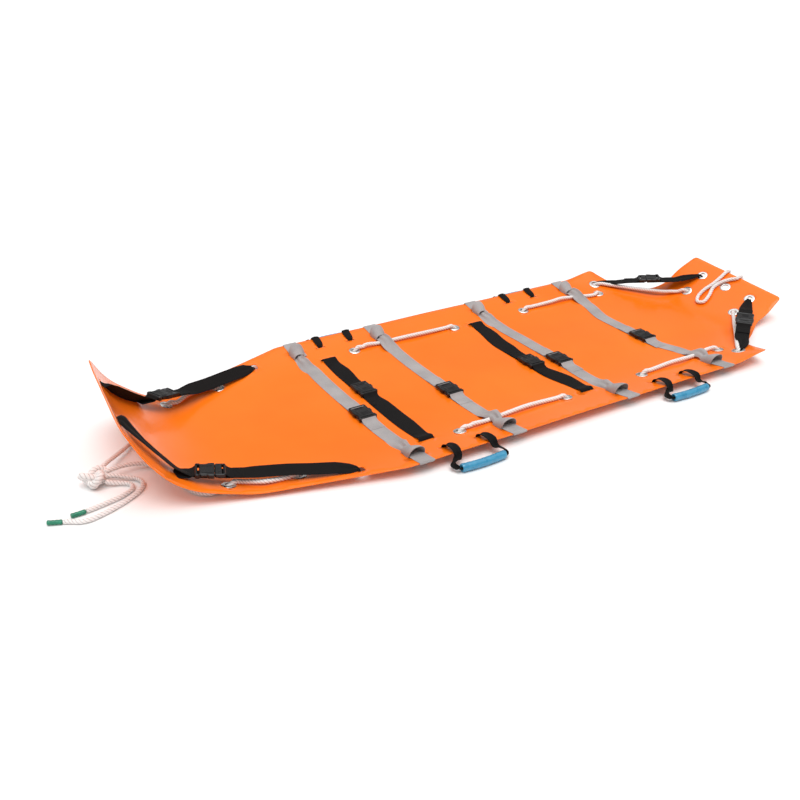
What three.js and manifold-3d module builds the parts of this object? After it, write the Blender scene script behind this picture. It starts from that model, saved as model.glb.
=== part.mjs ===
// Roll-up drag stretcher, laid open: one flexible plastic sheet with webbing
// straps, side-release buckles, carry handles and a rope laced along each side.
// Millimetres. +X runs towards the head flap, +Y to the casualty's left, +Z up.
import * as THREE from 'three';
import { mergeVertices } from 'three/addons/utils/BufferGeometryUtils.js';
import Module from 'manifold-3d';

const wasm = await Module();
wasm.setup();

// ---- driving dimensions ---------------------------------------------------
const sheetThickness = 3;
const halfWidth = 457;
const footEnd = -1353; // flat coordinate s of the tongue's end
const headEnd = 1266; // flat coordinate s of the head flap's end
const taperStart = -550; // the foot narrows from here to the tongue's end
const tongueHalfWidth = 225;
const wingTip = 888;
const notch = { s: 927, y: 335 };
const shoulder = { s: 1115, y: 228 };
const flapHalfWidth = 208;
const cornerCut = 9;
const flatStep = 180;
const curvedStep = 42;

const curlStart = -920; // the foot curls up from here
const curlRadius = 333;
const curlAngle = THREE.MathUtils.degToRad(65);
const footTwist = 0.08; // the far corner of the foot curls up more
const footTwistStart = -1000;
const footTwistEnd = -1190;
const bendStart = 1005; // the head flap bends up from here
const bendLength = 100;
const flapAngle = THREE.MathUtils.degToRad(30);
const flapHinge = 1055;
const hingeGap = 2;
const flapTwist = 0.12;
const twistLength = 145;

const flatHalf = 120; // the middle of the bed is flat
const edgeRise = 34;
const edgePower = 2;
const riseEnds = [960, 1050]; // the raised edges fade out before the flap
const wingRise = 18;
const wingPower = 2.7;
const wingRiseStart = 745;

const holeRadius = 12;
const wingHoleRadius = 15;
const grommets = {
  midRight: { s: 115, y: 324 },
  midLeft: { s: -301, y: 333 },
  headRight: { s: 811, y: 315 },
  headLeft: { s: 439, y: 326 },
  footRight: { s: -820, y: 310 },
  footLeft: { s: -1012, y: 266 },
  wing: { s: 844, y: 377 },
  flapStrap: { s: 1200, y: 116 },
  flapRope: { s: 1111, y: 119 },
};
const centreHole = { s: 1200, y: 0 };

const webbingThickness = 2;
const webbingWidth = 50;
const clearance = 0.6;
const slitWidth = 10;
// Each strap's place; its middle lies off the straight line by its drift.
const crossStraps = {
  chest: { s: 705, drift: -29, rope: 319 },
  waist: { s: 276, drift: 10 },
  thigh: { s: -172, drift: 0, rope: 331 },
  shin: { s: -495, drift: 0 },
};
const driftEnds = [120, 272];
const crossSlit = 400;
const crossBuckle = -68;
const bodyStraps = {
  knee_pad: { s: -412, drift: 0, y: 321, buckle: 75 },
  chest_pad: { s: 205, drift: -17, y: 320, buckle: -35 },
};
const footSlit = { s: -1323, y: 108 };
const footAnchor = { s: -665, y: 378 };
// Each handle's place, and how far its grips lie outside their hinge lines.
const handles = {
  foot: { s: -341, y: 460, left: 20, right: 46 },
  head: { s: 482, y: 460, left: 20, right: 40 },
};

const gripRadius = 13;
const gripBore = 8;
const gripLength = 150;
const gripDrift = 6;
const ropeRadius = 5;
const sleeveRadius = 6.5;

const buckle = {
  width: 64, height: 14, housing: 52, wall: 3, cavityHeight: 8.4,
  base: 30, baseWidth: 58, prong: 34, prongWidth: 8, prongHeight: 6.6,
};

// ---- materials ------------------------------------------------------------
function finish(hex, roughness, metalness = 0) {
  return new THREE.MeshStandardMaterial({ color: hex, roughness, metalness });
}
const orange = finish(0xff7a24, 0.3);
const greyWebbing = finish(0xb3aea9, 0.85);
const blackWebbing = finish(0x1b191c, 0.85);
const blackPlastic = finish(0x232128, 0.45);
const blueGrip = finish(0x4a9ec4, 0.4);
const whiteRope = finish(0xe9e4df, 0.85);
const greenSleeve = finish(0x1d8060, 0.5);

const stretcher = new THREE.Group();
stretcher.name = 'rescue_stretcher';

function addMesh(name, geometry, material) {
  const mesh = new THREE.Mesh(geometry, material);
  mesh.name = name;
  stretcher.add(mesh);
  return mesh;
}

// ---- solid tools ----------------------------------------------------------
function bare(geometry) {
  const copy = geometry.clone();
  copy.deleteAttribute('normal');
  copy.deleteAttribute('uv');
  return mergeVertices(copy, 1e-4);
}

function toSolid(geometry) {
  const closed = bare(geometry);
  return new wasm.Manifold(new wasm.Mesh({
    numProp: 3,
    vertProperties: new Float32Array(closed.attributes.position.array),
    triVerts: new Uint32Array(closed.index.array),
  }));
}

function fromSolid(solid) {
  const mesh = solid.getMesh();
  const geometry = new THREE.BufferGeometry();
  const points = new THREE.BufferAttribute(mesh.vertProperties, 3);
  geometry.setAttribute('position', points);
  geometry.setIndex(new THREE.BufferAttribute(mesh.triVerts, 1));
  return geometry;
}

// ---- the sheet's surface --------------------------------------------------
function smooth(value, low, high) {
  const t = THREE.MathUtils.clamp((value - low) / (high - low), 0, 1);
  return t * t * (3 - 2 * t);
}

// Middle line of the bed in the XZ plane, with its slope angle.
function middleLine(s) {
  let x = THREE.MathUtils.clamp(s, curlStart, bendStart);
  let z = 0;
  let angle = 0;
  let rest = 0;
  if (s > bendStart) {
    const radius = bendLength / flapAngle;
    angle = Math.min((s - bendStart) / radius, flapAngle);
    x += radius * Math.sin(angle);
    z = radius * (1 - Math.cos(angle));
    rest = Math.max(s - bendStart - bendLength, 0);
  }
  if (s < curlStart) {
    angle = Math.max((s - curlStart) / curlRadius, -curlAngle);
    x += curlRadius * Math.sin(angle);
    z = curlRadius * (1 - Math.cos(angle));
    rest = Math.min(s - curlStart + curlRadius * curlAngle, 0);
  }
  x += rest * Math.cos(angle);
  z += rest * Math.sin(angle);
  return { x, z, angle };
}

// How far the sheet stands off that line: raised edges, wings and flap twist.
function rise(s, y) {
  const reach = Math.max(Math.abs(y) - flatHalf, 0) / (halfWidth - flatHalf);
  const edge = edgeRise * reach ** edgePower * (1 - smooth(s, ...riseEnds));
  const fade = smooth(s, wingRiseStart, wingTip) * (1 - smooth(s, ...riseEnds));
  const wing = wingRise * reach ** wingPower * fade;
  const headTwist = flapTwist * smooth(s, flapHinge, flapHinge + twistLength);
  const tongueTwist = footTwist * smooth(-s, -footTwistStart, -footTwistEnd);
  return edge + wing + (headTwist + tongueTwist) * y;
}

// A point above flat coordinates (s, y): depth 0 is the underside.
function onSheet(s, y, depth = 0) {
  const line = middleLine(s);
  const out = rise(s, y) + depth;
  return new THREE.Vector3(
    line.x - Math.sin(line.angle) * out,
    y,
    line.z + Math.cos(line.angle) * out,
  );
}

// Half the sheet's width at s: tapered foot, full body, wings, notch and flap.
const outline = [
  [footEnd, tongueHalfWidth - cornerCut],
  [footEnd + cornerCut, tongueHalfWidth],
  [taperStart, halfWidth],
  [wingTip - cornerCut, halfWidth],
  [wingTip, halfWidth - cornerCut],
  [notch.s, notch.y],
  [shoulder.s, shoulder.y],
  [headEnd - cornerCut, flapHalfWidth],
  [headEnd, flapHalfWidth - cornerCut],
];

function halfWidthAt(s) {
  const next = outline.findIndex(([station]) => station >= s);
  if (next <= 0) return outline[0][1];
  const [s0, w0] = outline[next - 1];
  const [s1, w1] = outline[next];
  return THREE.MathUtils.lerp(w0, w1, (s - s0) / (s1 - s0));
}

// Stations along the sheet: close together where it curves, sparse where flat.
function stationsBetween(from, to) {
  const list = [from];
  while (list.at(-1) < to) {
    const s = list.at(-1);
    const flat = s >= curlStart && s < wingRiseStart - 1;
    const step = flat ? flatStep : curvedStep;
    const stops = [curlStart, wingRiseStart, to, ...outline.map(([stop]) => stop)];
    const next = Math.min(...stops.filter((stop) => stop > s + 0.5));
    list.push(next - s < 1.15 * step ? next : s + step);
  }
  return list;
}

// The places across the sheet where its grid has points: the first beside the
// middle is the edge of the flat part, the last the edge of the sheet.
function placesAcross(s) {
  const rows = [0, 0.16, 0.3, 0.44, 0.58, 0.72, 0.86, 1];
  const right = rows.map((v) => THREE.MathUtils.lerp(flatHalf, halfWidthAt(s), v));
  return [...right.map((y) => -y).reverse(), 0, ...right];
}

// Closed plate between two stations, on a grid of stations and rows.
function platePiece(from, to) {
  const kept = stationsBetween(from, to);
  const wide = placesAcross(from).length;
  const points = [];
  for (const depth of [0, sheetThickness]) {
    for (const s of kept) {
      for (const y of placesAcross(s)) points.push(...onSheet(s, y, depth));
    }
  }
  const layer = kept.length * wide;
  const faces = [];
  const quad = (a, b, c, d) => faces.push(a, b, c, a, c, d);
  for (let i = 0; i + 1 < kept.length; i += 1) {
    for (let j = 0; j + 1 < wide; j += 1) {
      const a = i * wide + j;
      quad(a, a + 1, a + wide + 1, a + wide);
      quad(layer + a, layer + a + wide, layer + a + wide + 1, layer + a + 1);
    }
  }
  for (let i = 0; i + 1 < kept.length; i += 1) {
    const a = i * wide;
    quad(a, a + wide, layer + a + wide, layer + a);
    const b = a + wide - 1;
    quad(b + wide, b, layer + b, layer + b + wide);
  }
  for (let j = 0; j + 1 < wide; j += 1) {
    quad(j + 1, j, layer + j, layer + j + 1);
    const b = (kept.length - 1) * wide + j;
    quad(b, b + 1, layer + b + 1, layer + b);
  }
  const geometry = new THREE.BufferGeometry();
  geometry.setAttribute('position', new THREE.Float32BufferAttribute(points, 3));
  geometry.setIndex(faces);
  return geometry;
}

// Turns a cutter so that its Y axis stands on the sheet and its X axis follows s.
function standOn(geometry, s, y) {
  const along = onSheet(s + 1, y).sub(onSheet(s - 1, y)).normalize();
  const across = onSheet(s, y + 1).sub(onSheet(s, y - 1)).normalize();
  const up = new THREE.Vector3().crossVectors(along, across).normalize();
  const side = new THREE.Vector3().crossVectors(along, up);
  const place = new THREE.Matrix4().makeBasis(along, up, side);
  place.setPosition(onSheet(s, y, sheetThickness / 2));
  return geometry.applyMatrix4(place);
}

function holeCutter(s, y, radius) {
  return standOn(new THREE.CylinderGeometry(radius, radius, 20, 14), s, y);
}

function slitCutter(s, y, length, width = slitWidth) {
  return standOn(new THREE.BoxGeometry(length, 20, width), s, y);
}

function sheetCutters() {
  const cutters = [];
  for (const side of [-1, 1]) {
    for (const [name, hole] of Object.entries(grommets)) {
      const radius = name === 'wing' ? wingHoleRadius : holeRadius;
      cutters.push(holeCutter(hole.s, side * hole.y, radius));
    }
    for (const { s } of Object.values(crossStraps)) {
      cutters.push(slitCutter(s, side * crossSlit, webbingWidth + 6));
    }
    for (const strap of Object.values(bodyStraps)) {
      cutters.push(slitCutter(strap.s, side * strap.y, webbingWidth + 6));
    }
    for (const handle of Object.values(handles)) {
      cutters.push(slitCutter(handle.s - 60, side * crossSlit, 30, 4));
      cutters.push(slitCutter(handle.s + 60, side * crossSlit, 30, 4));
    }
    cutters.push(slitCutter(footSlit.s, side * footSlit.y, slitWidth, webbingWidth + 6));
    cutters.push(slitCutter(footAnchor.s, side * footAnchor.y, 26, 30));
  }
  cutters.push(holeCutter(centreHole.s, centreHole.y, holeRadius));
  return cutters;
}

function addSheet() {
  const cutters = sheetCutters().map(toSolid);
  const pieces = {
    sheet_body: platePiece(footEnd, flapHinge - hingeGap / 2),
    head_flap: platePiece(flapHinge + hingeGap / 2, headEnd),
  };
  for (const [name, plate] of Object.entries(pieces)) {
    const solid = cutters.reduce((left, cutter) => left.subtract(cutter), toSolid(plate));
    addMesh(name, fromSolid(solid), orange);
  }
}

// ---- webbing --------------------------------------------------------------
// Flat strip along a list of middle points. Each station has its side vector
// and width; the strip's thickness is square to both.
function ribbon(stations, thickness = webbingThickness) {
  const points = [];
  stations.forEach((station, i) => {
    const before = stations[Math.max(i - 1, 0)].at;
    const after = stations[Math.min(i + 1, stations.length - 1)].at;
    const along = after.clone().sub(before).normalize();
    const side = station.side.clone().projectOnPlane(along).normalize();
    const up = new THREE.Vector3().crossVectors(side, along);
    for (const [a, b] of [[-1, -1], [1, -1], [1, 1], [-1, 1]]) {
      const corner = station.at.clone();
      corner.addScaledVector(side, (a * station.width) / 2);
      corner.addScaledVector(up, (b * thickness) / 2);
      points.push(...corner);
    }
  });
  const faces = [0, 1, 2, 0, 2, 3];
  for (let i = 0; i + 1 < stations.length; i += 1) {
    for (let k = 0; k < 4; k += 1) {
      const a = i * 4 + k;
      const b = i * 4 + ((k + 1) % 4);
      faces.push(a, a + 4, b + 4, a, b + 4, b);
    }
  }
  const last = (stations.length - 1) * 4;
  faces.push(last, last + 2, last + 1, last, last + 3, last + 2);
  const geometry = new THREE.BufferGeometry();
  geometry.setAttribute('position', new THREE.Float32BufferAttribute(points, 3));
  geometry.setIndex(faces);
  return geometry;
}

const alongX = new THREE.Vector3(1, 0, 0);
const upward = new THREE.Vector3(0, 0, 1);
const onTop = sheetThickness + clearance + webbingThickness / 2;
const below = -clearance - webbingThickness / 2;

// Strap half lying across the bed from its buckle to a slit, then as told. It
// humps over the rope where one lies in its way.
function strapAcross({ s, drift }, side, from, slit, tail, ropeAt) {
  const flatTo = ropeAt ? ropeAt - 30 : slit - 8;
  const steps = Math.max(Math.ceil((flatTo - side * from) / 60), 2);
  const list = [];
  for (let i = 0; i <= steps; i += 1) {
    list.push([THREE.MathUtils.lerp(side * from, flatTo, i / steps), onTop]);
  }
  if (ropeAt) {
    const over = onTop + 2 * ropeRadius + 2;
    list.push([ropeAt - 10, over], [ropeAt + 10, over], [ropeAt + 28, onTop]);
    list.push([slit - 8, onTop]);
  }
  list.push([slit - 3, onTop - 0.7], [slit, sheetThickness / 2], [slit + 3, below + 0.7]);
  list.push([slit + 8, below], ...tail);
  const stations = list.map(([y, depth]) => ({
    at: onSheet(s + drift * (1 - smooth(y, ...driftEnds)), side * y, depth),
    side: alongX,
    width: webbingWidth,
  }));
  return ribbon(stations);
}

// Round the sheet's edge and back over the top, short of the slit.
const turn = sheetThickness / 2 + clearance + webbingThickness / 2;
const aroundEdge = [
  [halfWidth, below],
  ...[-50, 0, 50].map((degrees) => {
    const angle = THREE.MathUtils.degToRad(degrees);
    const out = halfWidth + turn * Math.cos(angle);
    return [out, sheetThickness / 2 + turn * Math.sin(angle)];
  }),
  [halfWidth, onTop],
  [halfWidth - 24, onTop],
  [crossSlit + 14, onTop],
];

function addCrossStraps() {
  for (const [name, strap] of Object.entries(crossStraps)) {
    for (const [label, side] of [['left', 1], ['right', -1]]) {
      const from = crossBuckle + side * 1.5;
      const half = strapAcross(strap, side, from, crossSlit, aroundEdge, strap.rope);
      addMesh(`${name}_strap_${label}`, half, greyWebbing);
    }
    const at = onSheet(strap.s + strap.drift, crossBuckle, buckleDepth);
    addBuckle(`${name}_buckle`, at, new THREE.Vector3(0, 1, 0));
  }
}

function addBodyStraps() {
  for (const [name, strap] of Object.entries(bodyStraps)) {
    for (const [label, side] of [['left', 1], ['right', -1]]) {
      const from = strap.buckle + side * 1.5;
      const half = strapAcross(strap, side, from, strap.y, [[strap.y + 52, below]]);
      addMesh(`${name}_strap_${label}`, half, blackWebbing);
    }
    const at = onSheet(strap.s + strap.drift, strap.buckle, buckleDepth);
    addBuckle(`${name}_buckle`, at, new THREE.Vector3(0, 1, 0));
  }
}

// ---- side-release buckles -------------------------------------------------
const buckleDepth = sheetThickness + 2 * clearance + webbingThickness;

// Box lying on z = 0 between two places along local X.
function slab(from, to, width, height, lift = 0, offset = 0) {
  const box = new THREE.BoxGeometry(to - from, width, height);
  return box.translate((from + to) / 2, offset, lift + height / 2);
}

// The housing lies on the -X side of its mouth, the plug on the +X side.
function buckleHousing() {
  const b = buckle;
  const lift = (b.height - b.cavityHeight) / 2;
  const cavity = b.width - 2 * b.wall;
  const reach = b.prong + 4;
  const window = slab(-reach, 4 - reach + 18, b.width + 2, b.cavityHeight - 1, lift + 0.5);
  return fromSolid(
    toSolid(slab(-b.housing, 0, b.width, b.height))
      .subtract(toSolid(slab(-reach, 1, cavity, b.cavityHeight, lift)))
      .subtract(toSolid(window)),
  );
}

function bucklePlug() {
  const b = buckle;
  const lift = (b.height - b.prongHeight) / 2;
  const spread = b.width / 2 - b.wall - 1 - b.prongWidth / 2;
  let solid = toSolid(slab(0.5, b.base, b.baseWidth, b.height - 2, 1));
  for (const offset of [-spread, 0, spread]) {
    const length = offset === 0 ? b.prong - 8 : b.prong;
    const prong = slab(-length, 4, b.prongWidth, b.prongHeight, lift, offset);
    solid = solid.add(toSolid(prong));
  }
  return fromSolid(solid);
}

// Places both halves with the mouth at a point, the plug towards a direction.
function addBuckle(name, at, towards) {
  const along = towards.clone().normalize();
  const across = new THREE.Vector3().crossVectors(upward, along).normalize();
  const up = new THREE.Vector3().crossVectors(along, across);
  const place = new THREE.Matrix4().makeBasis(along, across, up).setPosition(at);
  const housing = addMesh(`${name}_housing`, buckleHousing(), blackPlastic);
  const plug = addMesh(`${name}_plug`, bucklePlug(), blackPlastic);
  housing.applyMatrix4(place);
  plug.applyMatrix4(place);
}

// ---- head and foot straps -------------------------------------------------
// Strap through free points, level across, with a width at each point.
function addFreeStrap(name, points, widths) {
  const stations = points.map((at, i) => {
    const before = points[Math.max(i - 1, 0)];
    const after = points[Math.min(i + 1, points.length - 1)];
    const side = new THREE.Vector3().crossVectors(upward, after.clone().sub(before));
    return { at, side: side.normalize(), width: widths[i] };
  });
  addMesh(name, ribbon(stations), blackWebbing);
}

// Moves a point off a straight line of travel: along it and up or down.
function offset(point, along, distance, lift) {
  return point.clone().addScaledVector(along, distance).addScaledVector(upward, lift);
}

// Each head strap runs from a wing grommet to a flap grommet and holds the flap up.
const headStrapStart = { x: 950, y: 298, z: 50 };
const headStrapEnd = { x: 1052, y: 217, z: 60 };
function addHeadStraps() {
  const { wing, flapStrap } = grommets;
  for (const [label, side] of [['left', 1], ['right', -1]]) {
    const on = (s, y, depth) => onSheet(s, side * y, depth);
    const from = new THREE.Vector3(headStrapStart.x, side * headStrapStart.y, headStrapStart.z);
    const to = new THREE.Vector3(headStrapEnd.x, side * headStrapEnd.y, headStrapEnd.z);
    const along = to.clone().sub(from).normalize();
    const mouth = offset(from, along, 72, 0);
    const half = webbingThickness / 2 + clearance;
    addFreeStrap(`head_strap_${label}_wing`, [
      on(wing.s + 20, wing.y - 5, onTop + 2),
      on(wing.s + 52, wing.y - 27, onTop + 10),
      offset(from, along, -40, -half - 3),
      offset(from, along, 0, -half),
      offset(mouth, along, -2, -half),
    ], [10, 26, webbingWidth, webbingWidth, webbingWidth]);
    addFreeStrap(`head_strap_${label}_flap`, [
      offset(mouth, along, 88, -half),
      offset(mouth, along, 114, -half),
      on(flapStrap.s - 58, flapStrap.y + 42, onTop + 22),
      on(flapStrap.s - 28, flapStrap.y + 20, onTop + 9),
      on(flapStrap.s - 14, flapStrap.y + 10, onTop + 4),
    ], [webbingWidth, webbingWidth, 44, 24, 12]);
    addBuckle(`head_buckle_${label}`, mouth, along.clone().negate());
  }
}

// Each foot strap holds the curled tongue up and ends in a slit near the edge.
const footStrapStart = {
  left: { x: -1056, y: 222, z: 78 },
  right: { x: -1083, y: -222, z: 60 },
};
function addFootStraps() {
  for (const [label, side] of [['left', 1], ['right', -1]]) {
    const on = (s, y, depth) => onSheet(s, side * y, depth);
    const to = on(-860, 301, 26);
    const start = footStrapStart[label];
    const from = new THREE.Vector3(start.x, start.y, start.z);
    const along = to.clone().sub(from).normalize();
    const mouth = offset(from, along, 50, 0);
    const half = webbingThickness / 2 + clearance;
    addFreeStrap(`foot_strap_${label}_tongue`, [
      on(footSlit.s, footSlit.y, -12),
      on(footSlit.s, footSlit.y, 1),
      on(footSlit.s + 5, footSlit.y + 2, 14),
      on(footSlit.s + 50, footSlit.y + 22, 34),
      on(footSlit.s + 130, footSlit.y + 62, 38),
      offset(from, along, -46, 12),
      offset(from, along, -4, -half),
      offset(mouth, along, -2, -half),
    ], new Array(8).fill(webbingWidth));
    addFreeStrap(`foot_strap_${label}_bed`, [
      offset(mouth, along, 2, -half),
      offset(mouth, along, 110, -half),
      on(-850, 303, 23),
      on(-790, 327, 16),
      on(footAnchor.s - 60, footAnchor.y - 27, onTop + 5),
      on(footAnchor.s - 26, footAnchor.y - 11, onTop + 4),
      on(footAnchor.s - 10, footAnchor.y - 4, onTop + 2.5),
      on(footAnchor.s, footAnchor.y, -3),
    ], [webbingWidth, webbingWidth, webbingWidth, webbingWidth, 44, 28, 18, 14]);
    addBuckle(`foot_buckle_${label}`, mouth, along);
  }
}

// ---- carry handles --------------------------------------------------------
// Rigid grip on a webbing loop that hangs from the sheet's edge.
function addHandles() {
  for (const [name, handle] of Object.entries(handles)) {
    for (const [label, side] of [['left', 1], ['right', -1]]) {
      const edge = onSheet(handle.s, side * halfWidth, sheetThickness / 2);
      const root = new THREE.Vector3(handle.s, side * (handle.y + 2), edge.z);
      const centre = new THREE.Vector3(
        handle.s + gripDrift, side * (handle.y + handle[label]), gripRadius + 0.1,
      );
      const ring = new THREE.Shape().absarc(0, 0, gripRadius, 0, 2 * Math.PI);
      ring.holes.push(new THREE.Path().absarc(0, 0, gripBore, 0, 2 * Math.PI, true));
      const grip = new THREE.ExtrudeGeometry(ring, {
        depth: gripLength, bevelEnabled: false, curveSegments: 14,
      });
      grip.translate(0, 0, -gripLength / 2).rotateY(Math.PI / 2);
      grip.translate(centre.x, centre.y, centre.z);
      addMesh(`${name}_handle_${label}_grip`, grip, blueGrip);
      const reach = gripLength / 2 + 17;
      const hang = centre.clone().sub(root).setX(0).normalize();
      const bar = new THREE.BoxGeometry(2 * reach + 8, 6, 6);
      let loop = toSolid(bar.translate(centre.x, centre.y, centre.z));
      for (const end of [-1, 1]) {
        const foot = centre.clone().addScaledVector(alongX, end * reach);
        const top = root.clone().addScaledVector(hang, 9).setX(foot.x - end * 7);
        const bend = root.clone().addScaledVector(hang, 16).setX(foot.x);
        loop = loop.add(toSolid(ribbon([
          { at: top, side: alongX, width: 24 },
          { at: bend, side: alongX, width: 18 },
          { at: foot, side: alongX, width: 18 },
        ])));
      }
      addMesh(`${name}_handle_${label}_webbing`, fromSolid(loop), blackWebbing);
    }
  }
}

// ---- rope -----------------------------------------------------------------
const ropeUp = sheetThickness + ropeRadius + 1;
const middle = sheetThickness / 2;
const floorLine = ropeRadius + 0.1;

// A rope's line meets each of its points and never sinks into the floor.
class RopeLine extends THREE.CatmullRomCurve3 {
  getPoint(t, target) {
    const point = super.getPoint(t, target);
    return point.setZ(Math.max(point.z, floorLine));
  }

  getSpacedPoints(count) {
    return this.getPoints(count);
  }

  getTangentAt(u, target) {
    return this.getTangent(u, target);
  }
}

function rope(points, perSpan) {
  const section = new THREE.Shape().absarc(0, 0, ropeRadius, 0, 2 * Math.PI);
  return new THREE.ExtrudeGeometry(section, {
    steps: (points.length - 1) * perSpan,
    curveSegments: 4,
    extrudePath: new RopeLine(points, false, 'centripetal'),
  });
}

// Rope points through a grommet along a direction in the flat sheet: over the
// sheet before the hole and under it after.
function threaded(hole, side, [ds, dy]) {
  const length = Math.hypot(ds, dy);
  const lay = (distance, depth) => onSheet(
    hole.s + (ds / length) * distance,
    side * (hole.y + (dy / length) * distance),
    middle + depth,
  );
  return [lay(-34, 7.6), lay(-13, 9.4), lay(0, 0), lay(13, -9.4), lay(34, -7.4)];
}

// One side lacing: from the flap's fold through the wing and bed grommets,
// over and under in turn, to the last foot grommet.
function addLacing(label, side) {
  const g = grommets;
  const over = (s, y, lift = 0) => onSheet(s, side * y, ropeUp + lift);
  const under = (s, y) => onSheet(s, side * y).setZ(floorLine);
  const last = threaded(g.footLeft, side, [-1, 0]).slice(0, 4);
  addMesh(`lacing_${label}`, rope([
    over(flapHinge - 6, 175), over(970, 245), over(886, 325, 2),
    onSheet(g.wing.s + 11, side * (g.wing.y - 16), middle + 10),
    onSheet(g.wing.s, side * (g.wing.y - 1), middle - 1),
    onSheet(g.wing.s - 11, side * (g.wing.y - 17), middle - 12),
    ...threaded(g.headRight, side, [1, 0.4]).reverse().slice(1),
    over(690, 319), over(590, 322),
    ...threaded(g.headLeft, side, [-1, 0]),
    under(360, 332), under(200, 337),
    ...threaded(g.midRight, side, [1, 0]).reverse(),
    over(-60, 328), over(-200, 331),
    ...threaded(g.midLeft, side, [-1, 0]),
    under(-366, 336), under(-550, 333), under(-740, 324),
    ...threaded(g.footRight, side, [1, 0]).reverse(),
    over(-916, 288),
    ...last, ropeJoin(side, -12), ropeJoin(side, 0),
  ], 1), whiteRope);
}

// Where a lacing meets its foot rope under the curl, and points in line with it.
function ropeJoin(side, distance) {
  const along = new THREE.Vector3(-0.96, -0.25 * side, -0.1).normalize();
  return new THREE.Vector3(-1048, side * 262, 9).addScaledVector(along, distance);
}

// Head loop: up through both flap grommets, under the flap, round its end and
// back on top as a bight that lies open on the flap.
function addHeadRope() {
  const { flapRope } = grommets;
  const start = (side) => [
    onSheet(flapHinge + 7, side * 168, ropeUp + 1.5),
    ...threaded(flapRope, side, [1, -1]),
  ];
  const roundEnd = (y, drift) => [
    [headEnd - 30, y, -7], [headEnd - 10, y, -8], [headEnd + 3.5, y, -5.5],
    [headEnd + 8, y + drift, middle],
    [headEnd + 3.5, y + 2 * drift, 8.5], [headEnd - 10, y + 2 * drift, 11],
  ];
  const bight = [
    [1225, 41], [1183, 43], [1142, 52], [1104, 50], [1080, 32],
    [1090, 9], [1128, 13], [1168, 27], [1205, 15], [1232, 0],
  ];
  addMesh('head_rope', rope([
    ...start(1),
    onSheet(1190, 72, -7),
    ...roundEnd(44, -1).map((flat) => onSheet(...flat)),
    ...bight.map(([s, y]) => onSheet(s, y, ropeUp + 1)),
    ...roundEnd(-20, 2).reverse().map((flat) => onSheet(...flat)),
    onSheet(1190, -60, -7),
    ...start(-1).reverse(),
  ], 2), whiteRope);
}

// Foot ropes: from under the tongue to the knot that joins them on the floor,
// and out of the knot to the two sleeved tails.
const knot = { x: -1312, y: -50, z: 26.2, rx: 44, ry: 34, rz: 26 };
const floorRoutes = {
  foot_rope_left: [
    [-1110, 190, 5.1], [-1165, 112, 12], [-1220, 48, 24], [-1258, 6, 33], [-1277, -16, 37],
  ],
  foot_rope_right: [
    [-1092, -228, 5.1], [-1105, -170, 5.1], [-1116, -110, 5.1], [-1136, -58, 8],
    [-1172, -30, 16], [-1222, -28, 26], [-1262, -38, 31],
  ],
  rope_tail_left: [
    [-1273, -76, 12], [-1250, -84, 6], [-1230, -102, 5.1], [-1234, -126, 5.1],
    [-1265, -146, 5.1], [-1305, -158, 5.1], [-1345, -166, 5.1], [-1368, -170, 5.1],
  ],
  rope_tail_right: [
    [-1264, -56, 20], [-1238, -62, 12], [-1208, -82, 5.1], [-1200, -112, 5.1],
    [-1216, -142, 5.1], [-1248, -166, 5.1], [-1290, -188, 5.1], [-1340, -207, 5.1],
    [-1370, -214, 5.1], [-1394, -210, 5.1], [-1413, -198, 5.1], [-1431, -188, 5.1],
  ],
};
const sleeves = {
  sleeve_left: { from: [-1369.5, -170.2], to: [-1409, -172] },
  sleeve_right: { from: [-1433, -187.2], to: [-1469, -171] },
};

function addFootRopes() {
  for (const [name, route] of Object.entries(floorRoutes)) {
    const points = route.map((place) => new THREE.Vector3(...place));
    const side = { foot_rope_left: 1, foot_rope_right: -1 }[name];
    if (side) points.unshift(ropeJoin(side, 0.8), ropeJoin(side, 14));
    addMesh(name, rope(points, 2), whiteRope);
  }
  const lump = new THREE.SphereGeometry(1, 14, 9);
  lump.scale(knot.rx, knot.ry, knot.rz).translate(knot.x, knot.y, knot.z);
  addMesh('rope_knot', lump, whiteRope);
  for (const [name, { from, to }] of Object.entries(sleeves)) {
    const start = new THREE.Vector3(...from, sleeveRadius + 0.1);
    const along = new THREE.Vector3(...to, sleeveRadius + 0.1).sub(start);
    const tube = new THREE.CylinderGeometry(sleeveRadius, sleeveRadius, along.length(), 12);
    const upright = new THREE.Vector3(0, 1, 0);
    const turned = new THREE.Quaternion();
    turned.setFromUnitVectors(upright, along.clone().normalize());
    const centre = start.addScaledVector(along, 0.5);
    tube.applyQuaternion(turned).translate(centre.x, centre.y, centre.z);
    addMesh(name, tube, greenSleeve);
  }
}

// ---- assembly -------------------------------------------------------------
addSheet();
addCrossStraps();
addBodyStraps();
addHeadStraps();
addFootStraps();
addHandles();
addLacing('left', 1);
addLacing('right', -1);
addHeadRope();
addFootRopes();

// The origin lies on the floor under the middle of the sheet's length.
const extent = new THREE.Box3();
stretcher.children.slice(0, 2).forEach((mesh) => extent.expandByObject(mesh));
stretcher.position.x = -(extent.min.x + extent.max.x) / 2;
stretcher.updateMatrixWorld(true);

export default stretcher;
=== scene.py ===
"""Looks of a roll-up drag stretcher laid open on the floor, built round its CAD frame.

Lengths in the shape functions are millimetres in the sheet's flat coordinates
(s along the length, y across, depth above the underside); Blender gets metres.
"""

import bisect
import math

import bmesh
import bpy
from mathutils import Matrix, Vector
from mathutils.geometry import delaunay_2d_cdt


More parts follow.
